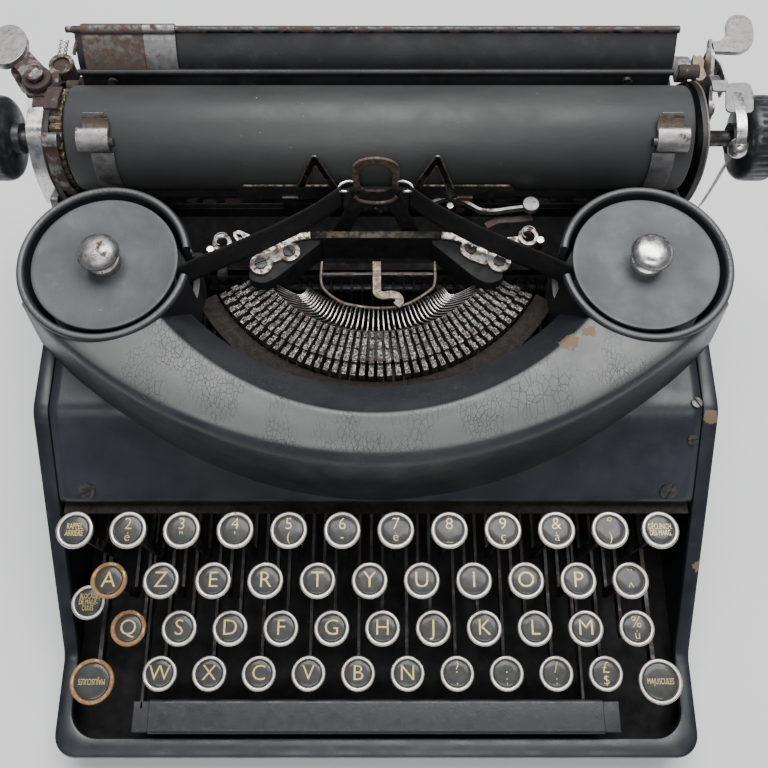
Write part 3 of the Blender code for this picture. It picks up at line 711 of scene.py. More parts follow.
class Model:
    """Gathers shapes with their finishes and makes one piece of them."""

    def __init__(self):
        self.points = []
        self.faces = []
        self.marks = []
        self.finishes = []

    def add(self, finish, *shapes, matrix=None):
        if finish not in self.finishes:
            self.finishes.append(finish)
        mark = self.finishes.index(finish)
        for shape in shapes:
            points, faces = in_place(shape, matrix) if matrix else shape
            start = len(self.points)
            self.points += points
            self.faces += [tuple(start + i for i in face) for face in faces]
            self.marks += [mark] * len(faces)
        return self

    def piece(self, name, body, slot=None, bevel=0.0, sharp=36, stands_for=()):
        mesh = bpy.data.meshes.new(name)
        mesh.from_pydata([Vector(p) * MM for p in self.points], [], self.faces)
        for finish in self.finishes:
            mesh.materials.append(finish)
        mesh.polygons.foreach_set("material_index", self.marks)
        shape = bmesh.new()
        shape.from_mesh(mesh)
        bmesh.ops.recalc_face_normals(shape, faces=shape.faces)
        shape.to_mesh(mesh)
        shape.free()
        mesh.shade_smooth()
        mesh.set_sharp_from_angle(angle=radians(sharp))
        obj = bpy.data.objects.new(name, mesh)
        bpy.context.scene.collection.objects.link(obj)
        if bevel:
            soften(obj, bevel)
        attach(obj, body)
        if stands_for:
            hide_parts(*stands_for)
        return obj


def soften(obj, width):
    edges = obj.modifiers.new("rounded_edges", "BEVEL")
    edges.width = width * MM
    edges.segments = 2
    edges.limit_method = "ANGLE"
    edges.angle_limit = radians(35)
    edges.harden_normals = True


# ---------------------------------------------------------------- body
def slope_z(y):
    rise = (DECK_TOP - RAIL_TOP) / (SLOPE_HEAD_Y - SLOPE_FOOT_Y)
    return min(DECK_TOP, max(RAIL_TOP, RAIL_TOP + rise * (y - SLOPE_FOOT_Y)))


def eased_z(y):
    """Height of the body's top edge with its two bends rounded."""
    steps = 9
    return sum(slope_z(y + BEND_REACH * (2 * k / (steps - 1) - 1)) for k in range(steps)) / steps


SIDE_STATIONS = [-110.0, -105.0, -103.5, -102.2, -101.0, -99.8, -98.5, -95.0, -80.0, -60.0, -40.0]
SIDE_STATIONS += [-25.0, -22.0, -20.8, -19.6, -18.4, -17.0, -14.0, 0.0, 30.0, 60.0, 90.0, 115.0]


def plan_loop(half_x, front, rear, corner):
    """A rounded rectangle seen from above, with the same number of points whatever its size."""
    steps = 8
    right = [(half_x, front + corner)] + [(half_x, y) for y in SIDE_STATIONS] + [(half_x, rear - corner)]
    loop = list(right)
    loop += arc((half_x - corner, rear - corner), corner, 0, pi / 2, steps)[1:]
    loop += arc((-half_x + corner, rear - corner), corner, pi / 2, pi, steps)
    loop += [(-x, y) for x, y in reversed(right)][1:]
    loop += arc((-half_x + corner, front + corner), corner, pi, 1.5 * pi, steps)[1:]
    loop += arc((half_x - corner, front + corner), corner, 1.5 * pi, 2 * pi, steps)[:-1]
    return loop


def outer_loop(inset):
    return plan_loop(HALF_WIDTH - inset, -HALF_DEPTH + inset, HALF_DEPTH - inset, CORNER - inset)


def well_loop(outset):
    return plan_loop(WELL_X + outset, WELL_FRONT - outset, WELL_REAR + outset, WELL_CORNER + outset)


def body_shell():
    """Outer walls with a rounded upper edge, the ledge round the well and the pan below, whose near-black
    colour is painted shade under the works.
    """
    rings = [
        (outer_loop(0), None),
        (outer_loop(0), 1.6),
        (outer_loop(0.45), 0.45),
        (outer_loop(1.6), 0.0),
        (well_loop(1.2), 0.0),
        (well_loop(0.35), 0.35),
        (well_loop(0), 1.2),
        (well_loop(0), 2.6),
        (outer_loop(WALL), 2.6),
        (outer_loop(WALL), None),
    ]
    sections = []
    for i in range(len(rings[0][0])):
        section = []
        for loop, drop in rings:
            x, y = loop[i]
            section.append((x, y, FOOT_HEIGHT if drop is None else eased_z(y) - drop))
        sections.append(section)
    model = Model()
    model.add(FRAME_ENAMEL, loft(sections, closed_path=True))
    # The pan's near-black colour is painted shade under the works.
    model.add(PAN_PAINTED_SHADE, prism("Z", outer_loop(1.0), FOOT_HEIGHT, FOOT_HEIGHT + 1.5))
    return model.piece("body_shell", "frame", "frame_enamel", stands_for=["base_frame"])


def inner_works():
    """Fulcrum rod, stop bar, carriage rails, spool shelves and posts inside the body."""
    side = HALF_WIDTH - 2.0
    model = Model()
    model.add(STEEL, rod("X", (FULCRUM_Y, FULCRUM_Z), 2.5, -side, side, 20))
    model.add(CARRIAGE_ENAMEL, box(-side, side, -47, -42, 52, 58))
    for y0, y1 in ((66, 72), (112, 118)):
        model.add(CARRIAGE_ENAMEL, box(-side, side, y0, y1, 79, 85.0))
        model.add(STEEL, box(-side, side, y0 + 1.6, y1 - 1.6, 84.6, 86.0))
    for sign in (-1, 1):
        x0, x1 = sorted((sign * 80, sign * side))
        model.add(CARRIAGE_ENAMEL, box(x0, x1, 14, 33, 80, 83.4))
        model.add(STEEL, rod("Z", (sign * SPOOL_X, SPOOL_Y), 3.0, 82, 109, 16))
    model.piece("inner_works", "frame", "carriage_steel", bevel=0.35)
    pad = Model()
    pad.add(BROWN_FELT, box(-118.4, 118.4, -51.6, -42.4, 58.05, 59.3))
    pad.piece("lever_felt", "frame")


def feet():
    profile = [
        (0, 0), (7.2, 0), (7.9, 0.3), (9.0, 1.7), (9.6, FOOT_HEIGHT - 0.4), (9.3, FOOT_HEIGHT),
        (0, FOOT_HEIGHT)
    ]
    model = Model()
    for x in (-113, 113):
        for y in (-126, 126):
            model.add(FOOT_RUBBER, turned("Z", profile, (x, y), 32))
    model.piece("rubber_feet", "frame", sharp=50)


def reach(angle, circle):
    centre_y, radius = circle
    offset = -cos(angle) * (centre_y - COVER_Y)
    return offset + sqrt(offset**2 - (centre_y - COVER_Y) ** 2 + radius**2)


def cover_foot_y(x):
    """Front edge of the crescent and cup skirts at a place across the machine."""
    centre_y, radius = FOOT_ARC
    front = centre_y - sqrt(radius**2 - x * x)
    aside = abs(x) - SPOOL_X
    if abs(x) > 84 and abs(aside) < 33.0:
        front = min(front, SPOOL_Y - sqrt(33.4**2 - aside**2))
    return front


def front_panel():
    """The sheet in front of and beside the crescent: rolled front edge, one cross bend."""
    edge = WELL_X - 0.45
    front = -48.2
    columns = []
    across = 72
    for i in range(across + 1):
        x = edge * (2 * i / across - 1)
        rear = max(cover_foot_y(x) + 4.5, front + 3)
        column = [(x, front + 0.9, eased_z(front) - 3.4), (x, front + 0.1, eased_z(front) - 1.6)]
        column.append((x, front + 0.3, eased_z(front) - 0.35))
        count = 26
        for k in range(count + 1):
            y = front + 0.9 + (rear - front - 0.9) * k / count
            column.append((x, y, eased_z(y) + 0.05))
        columns.append(column)
    model = Model().add(PANEL_ENAMEL, loft(columns, closed_section=False, caps=False))
    panel = model.piece("front_panel", "frame", "cover_enamel", sharp=50)
    sheet = panel.modifiers.new("sheet", "SOLIDIFY")
    sheet.thickness = 1.3 * MM
    sheet.offset = -1.0
    screws = Model()
    for x, y, turn in ((-108.0, -44.6, 0.5), (109.2, -44.8, 1.2), (116.0, -28.5, 0.2), (116.6, -17.0, 2.1)):
        lean = 0.67 if y < SLOPE_HEAD_Y else 0.0
        place = Matrix.Translation((x, y, eased_z(y) + 0.1)) @ Matrix.Rotation(lean, 4, "X")
        radius = 3.1 if abs(x) < 112 else 1.9
        screws.add(STEEL, *screw_head(0, 0, 0, radius, turn, 0.9), matrix=place)
    screws.piece("panel_screws", "frame")


def cover_section(angle):
    """The crescent's wall at one angle from the front, as (distance, height)."""
    raised = (1 - cos(min(1.0, abs(angle) / radians(50)) * pi)) / 2
    shoulder_z = 108.6 + 8.6 * raised
    inner_z = 112.8 + 5.2 * raised
    foot = reach(angle, FOOT_ARC)
    shoulder = reach(angle, SHOULDER_ARC)
    inner = reach(angle, INNER_TOP_ARC)
    low = reach(angle, INNER_LOW_ARC)
    foot_x = foot * abs(sin(angle))
    foot_y = COVER_Y - foot * cos(angle)
    foot_z = DECK_TOP + 0.3 if foot_x > WELL_X - 12 else slope_z(foot_y) - 1.2
    middle = (shoulder + inner) / 2

    def crown(distance):
        share = (distance - inner) / (shoulder - inner)
        return inner_z + (shoulder_z - inner_z) * share + 4.0 * share * (1 - share)

    outside = [
        (foot, foot_z),
        (foot * 0.55 + shoulder * 0.45 + 0.35, foot_z * 0.5 + shoulder_z * 0.5 - 4),
        (shoulder + 0.8, shoulder_z - 6.8),
        (shoulder + 0.3, shoulder_z - 3.0),
        (shoulder - 0.8, shoulder_z - 1.0),
        (shoulder - 2.6, crown(shoulder - 2.6) - 0.25),
        (shoulder - 5.2, crown(shoulder - 5.2)),
        (middle, crown(middle)),
        (inner + 4.5, crown(inner + 4.5)),
        (inner + 1.6, inner_z + 0.2),
        (inner + 0.2, inner_z - 0.5),
        (inner - 0.3, inner_z - 1.5),
        ((inner + low) / 2 - 0.2, (inner_z + INNER_LOW_Z) / 2),
        (low, INNER_LOW_Z),
    ]
    inside = [
        (low + 1.6, INNER_LOW_Z - 0.5),
        (inner + 2.6, inner_z - 3.2),
        (middle, crown(middle) - 2.4),
        (shoulder - 6.0, shoulder_z - 2.6),
        (shoulder - 1.8, shoulder_z - 8),
        (foot - 1.8, foot_z),
    ]
    return smooth_path(outside, 3) + inside


def ribbon_cover():
    sections = []
    stations = 108
    for k in range(stations + 1):
        angle = COVER_SWEEP * (2 * k / stations - 1)
        section = cover_section(angle)
        sections.append([(r * sin(angle), COVER_Y - r * cos(angle), z) for r, z in section])
    crescent = Model().add(COVER_ENAMEL, loft(sections))
    crescent = crescent.piece("crescent", "frame", "cover_enamel", sharp=50, stands_for=["ribbon_cover"])
    bead = 1.45
    bead_centre = (CUP_INNER + CUP_OUTER) / 2
    bead_z = CUP_TOP - bead
    cups = Model()
    hollows = []
    for side in (-1, 1):
        centre = (side * SPOOL_X, SPOOL_Y)
        profile = [(CUP_INNER, 87.5), (CUP_INNER, bead_z - 1.0)]
        profile += [
            (bead_centre + bead * cos(a), bead_z + bead * sin(a))
            for a in (pi * (1.12 - 1.24 * k / 12) for k in range(13))
        ]
        profile += [(CUP_OUTER - 0.35, bead_z - 1.6), (CUP_OUTER - 0.35, 87.5)]
        mouth = pi if side > 0 else 0.0
        half_mouth = 5.3 / bead_centre
        gap = (mouth + half_mouth, mouth + 2 * pi - half_mouth)
        cups.add(COVER_ENAMEL, turned("Z", profile, centre, 96, *gap, closed=True))
        sill = [(CUP_INNER, 87.5), (CUP_INNER, 101.0), (CUP_OUTER - 0.35, 101.0), (CUP_OUTER - 0.35, 87.5)]
        cups.add(
            COVER_ENAMEL, turned("Z", sill, centre, 8, mouth - half_mouth, mouth + half_mouth, closed=True)
        )
        facing = 0 if side > 0 else pi
        half_sweep = radians(100)
        skirt = []
        for k in range(73):
            turn = facing + half_sweep * (2 * k / 72 - 1)
            spread = 3.7 * min(1.0, (1 - abs(2 * k / 72 - 1)) / 0.09)
            ring = [
                (CUP_OUTER - 0.7, CUP_TOP - 3.4),
                (CUP_OUTER - 0.25 + spread * 0.06, CUP_TOP - 4.2),
                (CUP_OUTER - 0.3 + spread * 0.45, CUP_TOP - 17.0),
                (CUP_OUTER - 0.2 + spread, 87.0),
                (CUP_OUTER - 1.9 + spread, 87.0),
                (CUP_OUTER - 0.8, CUP_TOP - 9.0),
            ]
            skirt.append([(centre[0] + r * cos(turn), centre[1] + r * sin(turn), z) for r, z in ring])
        cups.add(COVER_ENAMEL, loft(skirt))
        hollow = Model().add(COVER_ENAMEL, rod("Z", centre, bead_centre, 80, 130, 96, 0.0))
        cut = hollow.piece(f"cup_hollow_{'left' if side < 0 else 'right'}", "frame")
        hollows.append(cut)
    cups.piece("spool_cups", "frame", "cover_enamel", sharp=50)
    for tool in hollows:
        cut = crescent.modifiers.new("cut", "BOOLEAN")
        cut.operation = "DIFFERENCE"
        cut.solver = "EXACT"
        cut.object = tool
    bpy.context.view_layer.update()
    graph = bpy.context.evaluated_depsgraph_get()
    shape = bpy.data.meshes.new_from_object(crescent.evaluated_get(graph))
    crescent.modifiers.clear()
    crescent.data = shape
    shape.set_sharp_from_angle(angle=radians(50))
    for tool in hollows:
        bpy.data.objects.remove(tool, do_unlink=True)


# ---------------------------------------------------------------- ribbon
def spools():
    for side, label in ((-1, "left"), (1, "right")):
        centre = (side * SPOOL_X, SPOOL_Y)
        top = SPOOL_TOP
        reel = Model()
        upper = [
            (3.4, top - 1.2), (24.8, top - 1.2), (25.3, top - 0.9), (25.4, top - 0.5), (25.2, top - 0.1),
            (24.7, top), (23.9, top - 0.15), (9.0, top - 0.15), (8.2, top), (3.4, top),
        ]
        lower = [(3.4, 99.5), (25.4, 99.5), (25.4, 100.6), (3.4, 100.7)]
        core = [(3.4, 100.5), (9.5, 100.5), (9.5, 117.0), (3.4, 117.0)]
        reel.add(SPOOL_PAINT, turned("Z", upper, centre, 96, closed=True))
        reel.add(
            SPOOL_PAINT, turned("Z", lower, centre, 72, closed=True),
            turned("Z", core, centre, 48, closed=True)
        )
        reel.piece(
            f"{label}_spool", f"{label}_spool", "spool_paint", sharp=40,
            stands_for=[f"{label}_ribbon_spool"]
        )
        wound = 20.5 if side < 0 else 16.5
        pack = [
            (9.6, 101.2), (wound, 101.2), (wound + 0.15, 103), (wound + 0.15, 114), (wound, 115.9),
            (9.6, 115.9)
        ]
        Model().add(
            CLOTH, turned("Z", pack, centre, 64, closed=True)
        ).piece(f"{label}_wound_ribbon", f"{label}_spool")
        knob = [
            (0, top + 10.2), (2.6, top + 10.1), (4.9, top + 9.55), (6.3, top + 8.6), (7.05, top + 7.5),
            (7.2, top + 6.9),
            (6.95, top + 6.4), (6.2, top + 6.1), (4.6, top + 5.9), (4.2, top + 5.5), (4.1, top + 3.2),
            (4.4, top + 2.8),
            (5.5, top + 2.6), (5.9, top + 2.2), (5.95, top + 0.1), (3.5, top - 0.3),
        ]
        finish = NICKEL if side < 0 else BRIGHT_NICKEL
        Model().add(finish, turned("Z", knob, centre, 48)).piece(
            f"{label}_spool_knob", f"{label}_spool", "aged_nickel", sharp=60
        )


def ribbon_span(name, path, bodies):
    """A length of ribbon standing on edge: path gives x, y, bottom height and the lean of its top edge."""
    width = 12.7
    sections = []
    line = smooth_path(path, 8)
    for i, (x, y, z, lean) in enumerate(line):
        rows = 6
        tilt = radians(lean)
        section = []
        for k in range(rows + 1):
            rise = width * k / rows
            section.append((x, y + rise * sin(tilt), z + rise * cos(tilt)))
        sections.append(section)
    model = Model().add(CLOTH, loft(sections, closed_section=False, caps=False))
    obj = model.piece(name, bodies[0])
    thick = obj.modifiers.new("cloth", "SOLIDIFY")
    thick.thickness = 0.16 * MM
    thick.offset = 0.0
    if len(bodies) > 1:
        world = obj.matrix_world.copy()
        obj.parent = None
        obj.matrix_world = world
        del obj["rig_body"]
        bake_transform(obj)


def ribbon():
    for side, label in ((-1, "left"), (1, "right")):
        path = [
            (side * 71.0, 22.4, 101.0, 2),
            (side * 64.5, 26.4, 101.0, 3),
            (side * 50.0, 33.6, 100.8, 3),
            (side * 36.0, 40.6, 101.4, 2),
            (side * 22.0, 48.0, 103.2, 2),
            (side * 12.6, 54.0, 105.4, 2),
        ]
        ribbon_span(
            f"{label}_ribbon", path, ("frame", "vibrator"),
        )
    path = [(-12.2, 55.0, 99.5, 12), (-6.0, 55.2, 99.5, 14), (6.0, 55.2, 99.5, 14), (12.2, 55.0, 99.5, 12)]
    ribbon_span("centre_ribbon", path, ("vibrator",))


def vibrator():
    """The ribbon fork: splayed legs, rusty loop, bright ribbon hooks and the small guide at its foot."""
    lean_start = 108.0

    def leaning(points):
        made = []
        for x, y, z in points:
            above = z - lean_start
            made.append((x, y + above * (0.158 if above > 0 else 0.27), z))
        return made

    outline_right = [(20.2, 84), (9.6, 106.5), (8.5, 110.5), (8.4, 116), (8.7, 121)]
    outline_right += [
        (8.7 * cos(a), 121 + 6.8 * sin(a) ** 0.85) for a in (pi / 2 * k / 8 for k in range(1, 9))
    ]
    outer = smooth_path(outline_right, 2)
    outer = outer + [(-x, z) for x, z in reversed(outer)][1:]
    window_right = [(5.6, 113.2), (6.0, 117), (5.8, 121)] + [
        (5.5 * cos(a), 121 + 4.0 * sin(a)) for a in (0.5, 1.0, 1.35)
    ]
    window = [(0, 125.0)] + [(x, z) for x, z in reversed(window_right)] + [(3.6, 111.7), (0, 111.4)]
    window = window + [(-x, z) for x, z in reversed(window)][1:-1]
    legs = [(-13.4, 83.5), (-4.4, 104.0), (4.4, 104.0), (13.4, 83.5)]
    plate_low, plate_high = 55.95, 57.05
    body = bpy.data.meshes.new("fork")
    points, faces = prism("Y", outer, plate_low, plate_high)
    body.from_pydata([Vector(p) * MM for p in points], [], faces)
    holder = bpy.data.objects.new("fork_holder", body)
    bpy.context.scene.collection.objects.link(holder)
    tools = []
    for outline in (window, legs):
        points, faces = prism("Y", outline, 50, 62)
        tool_mesh = bpy.data.meshes.new("hole")
        tool_mesh.from_pydata([Vector(p) * MM for p in points], [], faces)
        tool = bpy.data.objects.new("hole_tool", tool_mesh)
        bpy.context.scene.collection.objects.link(tool)
        cut = holder.modifiers.new("cut", "BOOLEAN")
        cut.operation = "DIFFERENCE"
        cut.object = tool
        tools.append(tool)
    for obj in (holder, *tools):
        shape = bmesh.new()
        shape.from_mesh(obj.data)
        bmesh.ops.recalc_face_normals(shape, faces=shape.faces)
        shape.to_mesh(obj.data)
        shape.free()
    bpy.context.view_layer.update()
    cut_mesh = bpy.data.meshes.new_from_object(holder.evaluated_get(bpy.context.evaluated_depsgraph_get()))
    points = leaning([tuple(v.co / MM) for v in cut_mesh.vertices])
    faces = [tuple(p.vertices) for p in cut_mesh.polygons]
    for obj in (holder, *tools):
        bpy.data.objects.remove(obj, do_unlink=True)
    model = Model().add(FORK_LOOKS, (points, faces))
    model.piece("ribbon_fork", "vibrator", "rusty_iron", bevel=0.28, stands_for=["ribbon_vibrator"])
    guides = Model()
    smile = smooth_path(
        [
            (-7.6, 54.3, 111.4), (-5.6, 53.6, 109.6), (0, 53.2, 108.9), (5.6, 53.6, 109.6),
            (7.6, 54.3, 111.4)
        ],
        6
    )
    guides.add(RUST, tube(smile, 0.75))
    nose = [(-1.7, 53.0, 103.6), (0, 52.6, 106.8), (1.7, 53.0, 103.6)]
    guides.add(STEEL, tube(smooth_path(nose, 4), 0.7))
    for side in (-1, 1):
        hook = [
            (side * 8.2, 57.6, 116.2), (side * 10.4, 57.3, 116.6), (side * 12.9, 56.0, 116.4),
            (side * 13.4, 54.4, 115.2), (side * 10.8, 53.9, 115.4), (side * 9.8, 54.8, 114.4),
        ]
        guides.add(BRIGHT_NICKEL, tube(smooth_path(hook, 5), 0.62))
    guides.piece("ribbon_hooks", "vibrator", "aged_nickel", sharp=60)


# ---------------------------------------------------------------- keys
def lettering(words, size, x, y, z, depth=0.3, turn=0.0, mirrored=False, narrow=1.0, thin=0.0):
    """Plain sans lettering as (points, faces), centred on a point, its face up at height z."""
    curve = bpy.data.curves.new("words", "FONT")
    curve.body = words
    curve.size = size * MM
    curve.align_x = "CENTER"
    curve.align_y = "CENTER"
    curve.extrude = depth * MM / 2
    curve.resolution_u = 3
    curve.offset = -thin * MM
    curve.space_line = 0.8
    obj = bpy.data.objects.new("words", curve)
    bpy.context.scene.collection.objects.link(obj)
    bpy.context.view_layer.update()
    mesh = bpy.data.meshes.new_from_object(obj.evaluated_get(bpy.context.evaluated_depsgraph_get()))
    place = Matrix.Translation((x, y, z - depth / 2)) @ Matrix.Rotation(turn, 4, "Z")
    place = place @ Matrix.Diagonal((-narrow if mirrored else narrow, 1, 1, 1))
    points = [tuple(place @ (v.co / MM)) for v in mesh.vertices]
    faces = [tuple(p.vertices) for p in mesh.polygons]
    bpy.data.objects.remove(obj, do_unlink=True)
    bpy.data.curves.remove(curve)
    bpy.data.meshes.remove(mesh)
    return points, faces


def lever_shapes(x, y, top, thickness=1.2):
    half = thickness / 2
    eye = [(2.8, x - half), (4.6, x - half), (4.6, x + half), (2.8, x + half)]
    outline = [
        (FULCRUM_Y - 3.8, FULCRUM_Z + 2.4),
        (y + 2.0, FULCRUM_Z + 2.4),
        (y + 1.8, top),
        (y - 1.8, top),
        (y - 1.8, FULCRUM_Z - 1.0),
        (y - 0.4, FULCRUM_Z - 2.4),
        (FULCRUM_Y - 3.8, FULCRUM_Z - 2.4),
    ]
    return [
        turned("X", eye, (FULCRUM_Y, FULCRUM_Z), 24, closed=True),
        prism("X", rounded(outline, 0.8, 2), x - half, x + half),
    ]


def key_face(model, x, y, top, radius, ring, card):
    wide = radius - KEY_RADIUS
    rim = [
        (5.05 + wide, top - 2.0), (5.05 + wide, top - 0.55), (5.25 + wide, top - 0.18), (5.6 + wide, top),
        (6.0 + wide, top), (6.4 + wide, top - 0.12), (6.6 + wide, top - 0.4), (6.675 + wide, top - 0.9),
        (6.55 + wide, top - 1.7), (6.1 + wide, top - 2.3), (5.8 + wide, top - 2.6),
        (5.05 + wide, top - 2.6),
    ]
    model.add(ring, turned("Z", rim, (x, y), 48, closed=True))
    glass = [(0, top - 2.6), (5.2 + wide, top - 2.55), (5.2 + wide, top - 0.95), (4.85 + wide, top - 0.95)]
    glass += [(4.75 + wide, top - 0.5), (4.3 + wide, top - 0.36), (2.8 + wide, top - 0.30), (0, top - 0.28)]
    model.add(card, turned("Z", glass, (x, y), 40))


def key_piece(name, x, y, top, legends, ring=None, card=None, stands_for=None):
    """One key: its lever, plated ring, dark face and gold legends."""
    model = Model()
    model.add(LEVER_STEEL, *lever_shapes(x, y, top - 1.6))
    key_face(model, x, y, top, KEY_RADIUS, ring or RING_NICKEL, card or KEY_CARD)
    for words, size, dx, dy in legends:
        narrow = 0.56 if "\n" in words else 1.0
        thin = 0.07 if size > 4 else 0.0
        model.add(GOLD_INK, lettering(words, size, x + dx, y + dy, top - 0.22, narrow=narrow, thin=thin))
    return model.piece(name, stands_for, "key_steel", sharp=40, stands_for=[stands_for])


def double(upper, lower):
    return [(upper, 6.0, 0, 2.0), (lower, 4.8, 0, -2.5)]


def keys():
    rows = (
        (
            ("2", double("2", "é")), ("3", double("3", '"')), ("4", double("4", "'")),
            ("5", double("5", "(")),
            ("6", double("6", "-")), ("7", double("7", "è")), ("8", double("8", "_")),
            ("9", double("9", "ç")),
            ("ampersand", double("&", "à")), ("degree", double("°", ")")),
        ),
        tuple((c.lower(), c) for c in "AZERTYUIOP") + (("circumflex", double("¨", "^")),),
        tuple((c.lower(), c) for c in "QSDFGHJKLM") + (("percent", double("%", "ù")),),
        tuple((c.lower(), c) for c in "WXCVBN")
        + (
            ("question", double("?", ",")), ("semicolon", double(".", ";")), ("slash", double("/", ":")),
            ("pound", double("£", "$")),
        ),
    )
    for row, y, z, first_x in zip(rows, ROW_Y, ROW_Z, ROW_FIRST_X):
        for k, (name, legend) in enumerate(row):
            if isinstance(legend, str):
                legend = [(legend, 8.2, 0, 0)]
            amber = name in ("a", "q")
            key_piece(
                f"{name}_key", first_x + k * KEY_PITCH, y, z, legend,
                ring=AMBER_RING if amber else None, card=AMBER_CARD if name == "a" else None,
                stands_for=f"key_{name}",
            )
    small = 3.1
    key_piece(
        "backspace_key", -107.0, ROW_Y[0], ROW_Z[0], [("RAPPEL\nARRIÈRE", small, 0, 0)],
        stands_for="key_backspace"
    )
    key_piece(
        "margin_release_key", 101.2, ROW_Y[0], ROW_Z[0], [("DÉCLENCH.\nDES MARG.", 2.8, 0, 0)],
        stands_for="key_margin_release",
    )
    key_piece(
        "shift_lock_key", -111.7, -82.3, 40.0, [("BLOCAGE\nDE MAJUS-\nCULES", 2.8, 0, 0)],
        stands_for="key_shift_lock"
    )
    top = ROW_Z[3]
    shifts = Model()
    for side in (-1, 1):
        shifts.add(LEVER_STEEL, *lever_shapes(side * SHIFT_X, SHIFT_Y, top - 1.6, 1.6))
        x0, x1 = sorted((side * (SHIFT_X - 0.8), side * (SHIFT_X + 0.8)))
        shifts.add(LEVER_STEEL, box(x0, x1, FULCRUM_Y + 3.6, FULCRUM_Y + 11.8, 21.7, 26.3))
        key_face(
            shifts, side * SHIFT_X, SHIFT_Y, top, SHIFT_RADIUS, AMBER_RING if side < 0 else RING_NICKEL,
            KEY_CARD
        )
        turn = pi if side < 0 else 0.0
        shifts.add(
            GOLD_INK,
            lettering("MAJUSCULES", 3.1, side * SHIFT_X, SHIFT_Y, top - 0.22, turn=turn, narrow=0.58)
        )
    shifts.add(LEVER_STEEL, box(-SHIFT_X, SHIFT_X, FULCRUM_Y + 8.2, FULCRUM_Y + 11.8, 21.7, 26.3))
    shifts.piece("shift_keys_pair", "shift", "key_steel", sharp=40, stands_for=["shift_keys"])


def space_bar():
    front, rear, base, top = -130.0, -117.5, 23.8, 28.0
    crown = [
        (front, base), (rear, base), (rear, top - 0.6), (rear - 1.0, top), (front + 1.0, top),
        (front, top - 0.9)
    ]
    step = [(front + 0.5, base), (rear - 0.5, base), (rear - 0.5, top - 1.6), (front + 0.5, top - 1.6)]
    bar = Model()
    bar.add(BAR_PAINT, prism("X", rounded(crown, 0.9, 3), -87.6, 87.6))
    bar.add(SHADE_PAINT, prism("X", rounded(step, 0.5, 2), -94.0, 94.0))
    for arm_x in (-90.9, 80.35):
        bar.add(LEVER_STEEL, *lever_shapes(arm_x, -123.5, base + 1.0, 1.4))
    bar.piece("space_bar_plate", "space", "space_bar_paint", bevel=0.35, stands_for=["space_bar"])


# ---------------------------------------------------------------- type basket
def basket_matrix(angle):
    """Local (distance from the type point, sideways, height) to the row frame."""
    out = Vector((sin(angle), -cos(angle), 0))
    side = Vector((cos(angle), sin(angle), 0))
    return Matrix(
        ((out.x, side.x, 0, 0), (out.y, side.y, 0, TYPE_POINT_Y), (0, 0, 1, 0), (0, 0, 0, 1))
    )


def typebars():
    slugs = Model()
    letters = Model()
    dark_ribs = Model()
    bright_ribs = Model()
    sorts = "AQ2ZW3SXEDC4RFV5TGB6YHN7UJ8IK9OL&PM0EARSTI"
    for k in range(TYPEBARS):
        share = 2 * k / (TYPEBARS - 1) - 1
        angle = BASKET_HALF_ANGLE * share
        place = basket_matrix(angle)
        rise = 0.28 * sin(k * 2.4)
        slugs.add(
            TYPE_METAL,
            box(50.5, 66.5, -0.85, 0.85, 88, 93.0 + rise),
            box(65.6, 68.4, -0.98, 0.98, 88.4, 94.0 + rise),
            box(60.6, 63.4, -1.02, 1.02, 88.8, 94.4 + rise),
            box(50.9, 53.2, -0.6, 0.6, 90, 93.9 + 0.4 * sin(k * 1.7)),
            box(56.0, 57.6, -0.7, 0.7, 90, 93.7 + 0.4 * sin(k * 2.9)),
            matrix=place,
        )
        for u in (62.1, 66.9):
            letters.add(TYPE_METAL, lettering(sorts[k], 2.2, 0, 0, 0.3, 0.5, pi / 2, True),
                        matrix=place @ Matrix.Translation((u, 0, (94.4 if u < 65 else 94.0) + rise)))
        eased = 1.25 * share - 0.25 * share**3
        at_k = radians(52.9) * eased
        at_e = radians(40.5) * eased
        start = (50.8 * sin(angle), TYPE_POINT_Y - 50.8 * cos(angle), 92.0)
        knee = (36.5 * sin(at_k), 45.1 - 36.5 * cos(at_k), 94.0)
        inner = (38.8 * sin(at_e), 56.2 - 38.8 * cos(at_e), 93.0)
        away = Vector((inner[0] - knee[0], inner[1] - knee[1], 0)).normalized()
        down = (inner[0] + away.x * 0.9, inner[1] + away.y * 0.9, 90.0)
        low = (inner[0] + away.x * 1.3, inner[1] + away.y * 1.3, 85.5)
        path = smooth_path([start, knee, inner, down, low], 5)
        dark_ribs.add(STEEL, blade(path[:7], 0.62, 4.5))
        bright_ribs.add(RIB_STEEL, blade(path[5:], 0.66, 3.0))
    slugs.piece("type_slugs", "frame", "type_steel", bevel=0.16, stands_for=["type_basket"])
    letters.piece("type_faces", "frame", "type_steel")
    dark_ribs.piece("typebars", "frame", "type_steel")
    bright_ribs.piece("typebar_heels", "frame", "type_steel")


def basket_plate(outer, inner, z0, z1, half_angle, finish, name):
    sections = []
    steps = 60
    for k in range(steps + 1):
        angle = half_angle * (2 * k / steps - 1)
        place = basket_matrix(angle)
        section = [
            place @ Vector((u, 0, z)) for u, z in ((outer, z0), (outer, z1), (inner, z1), (inner, z0))
        ]
        sections.append([tuple(p) for p in section])
    Model().add(finish, loft(sections)).piece(name, "frame", bevel=0.3)


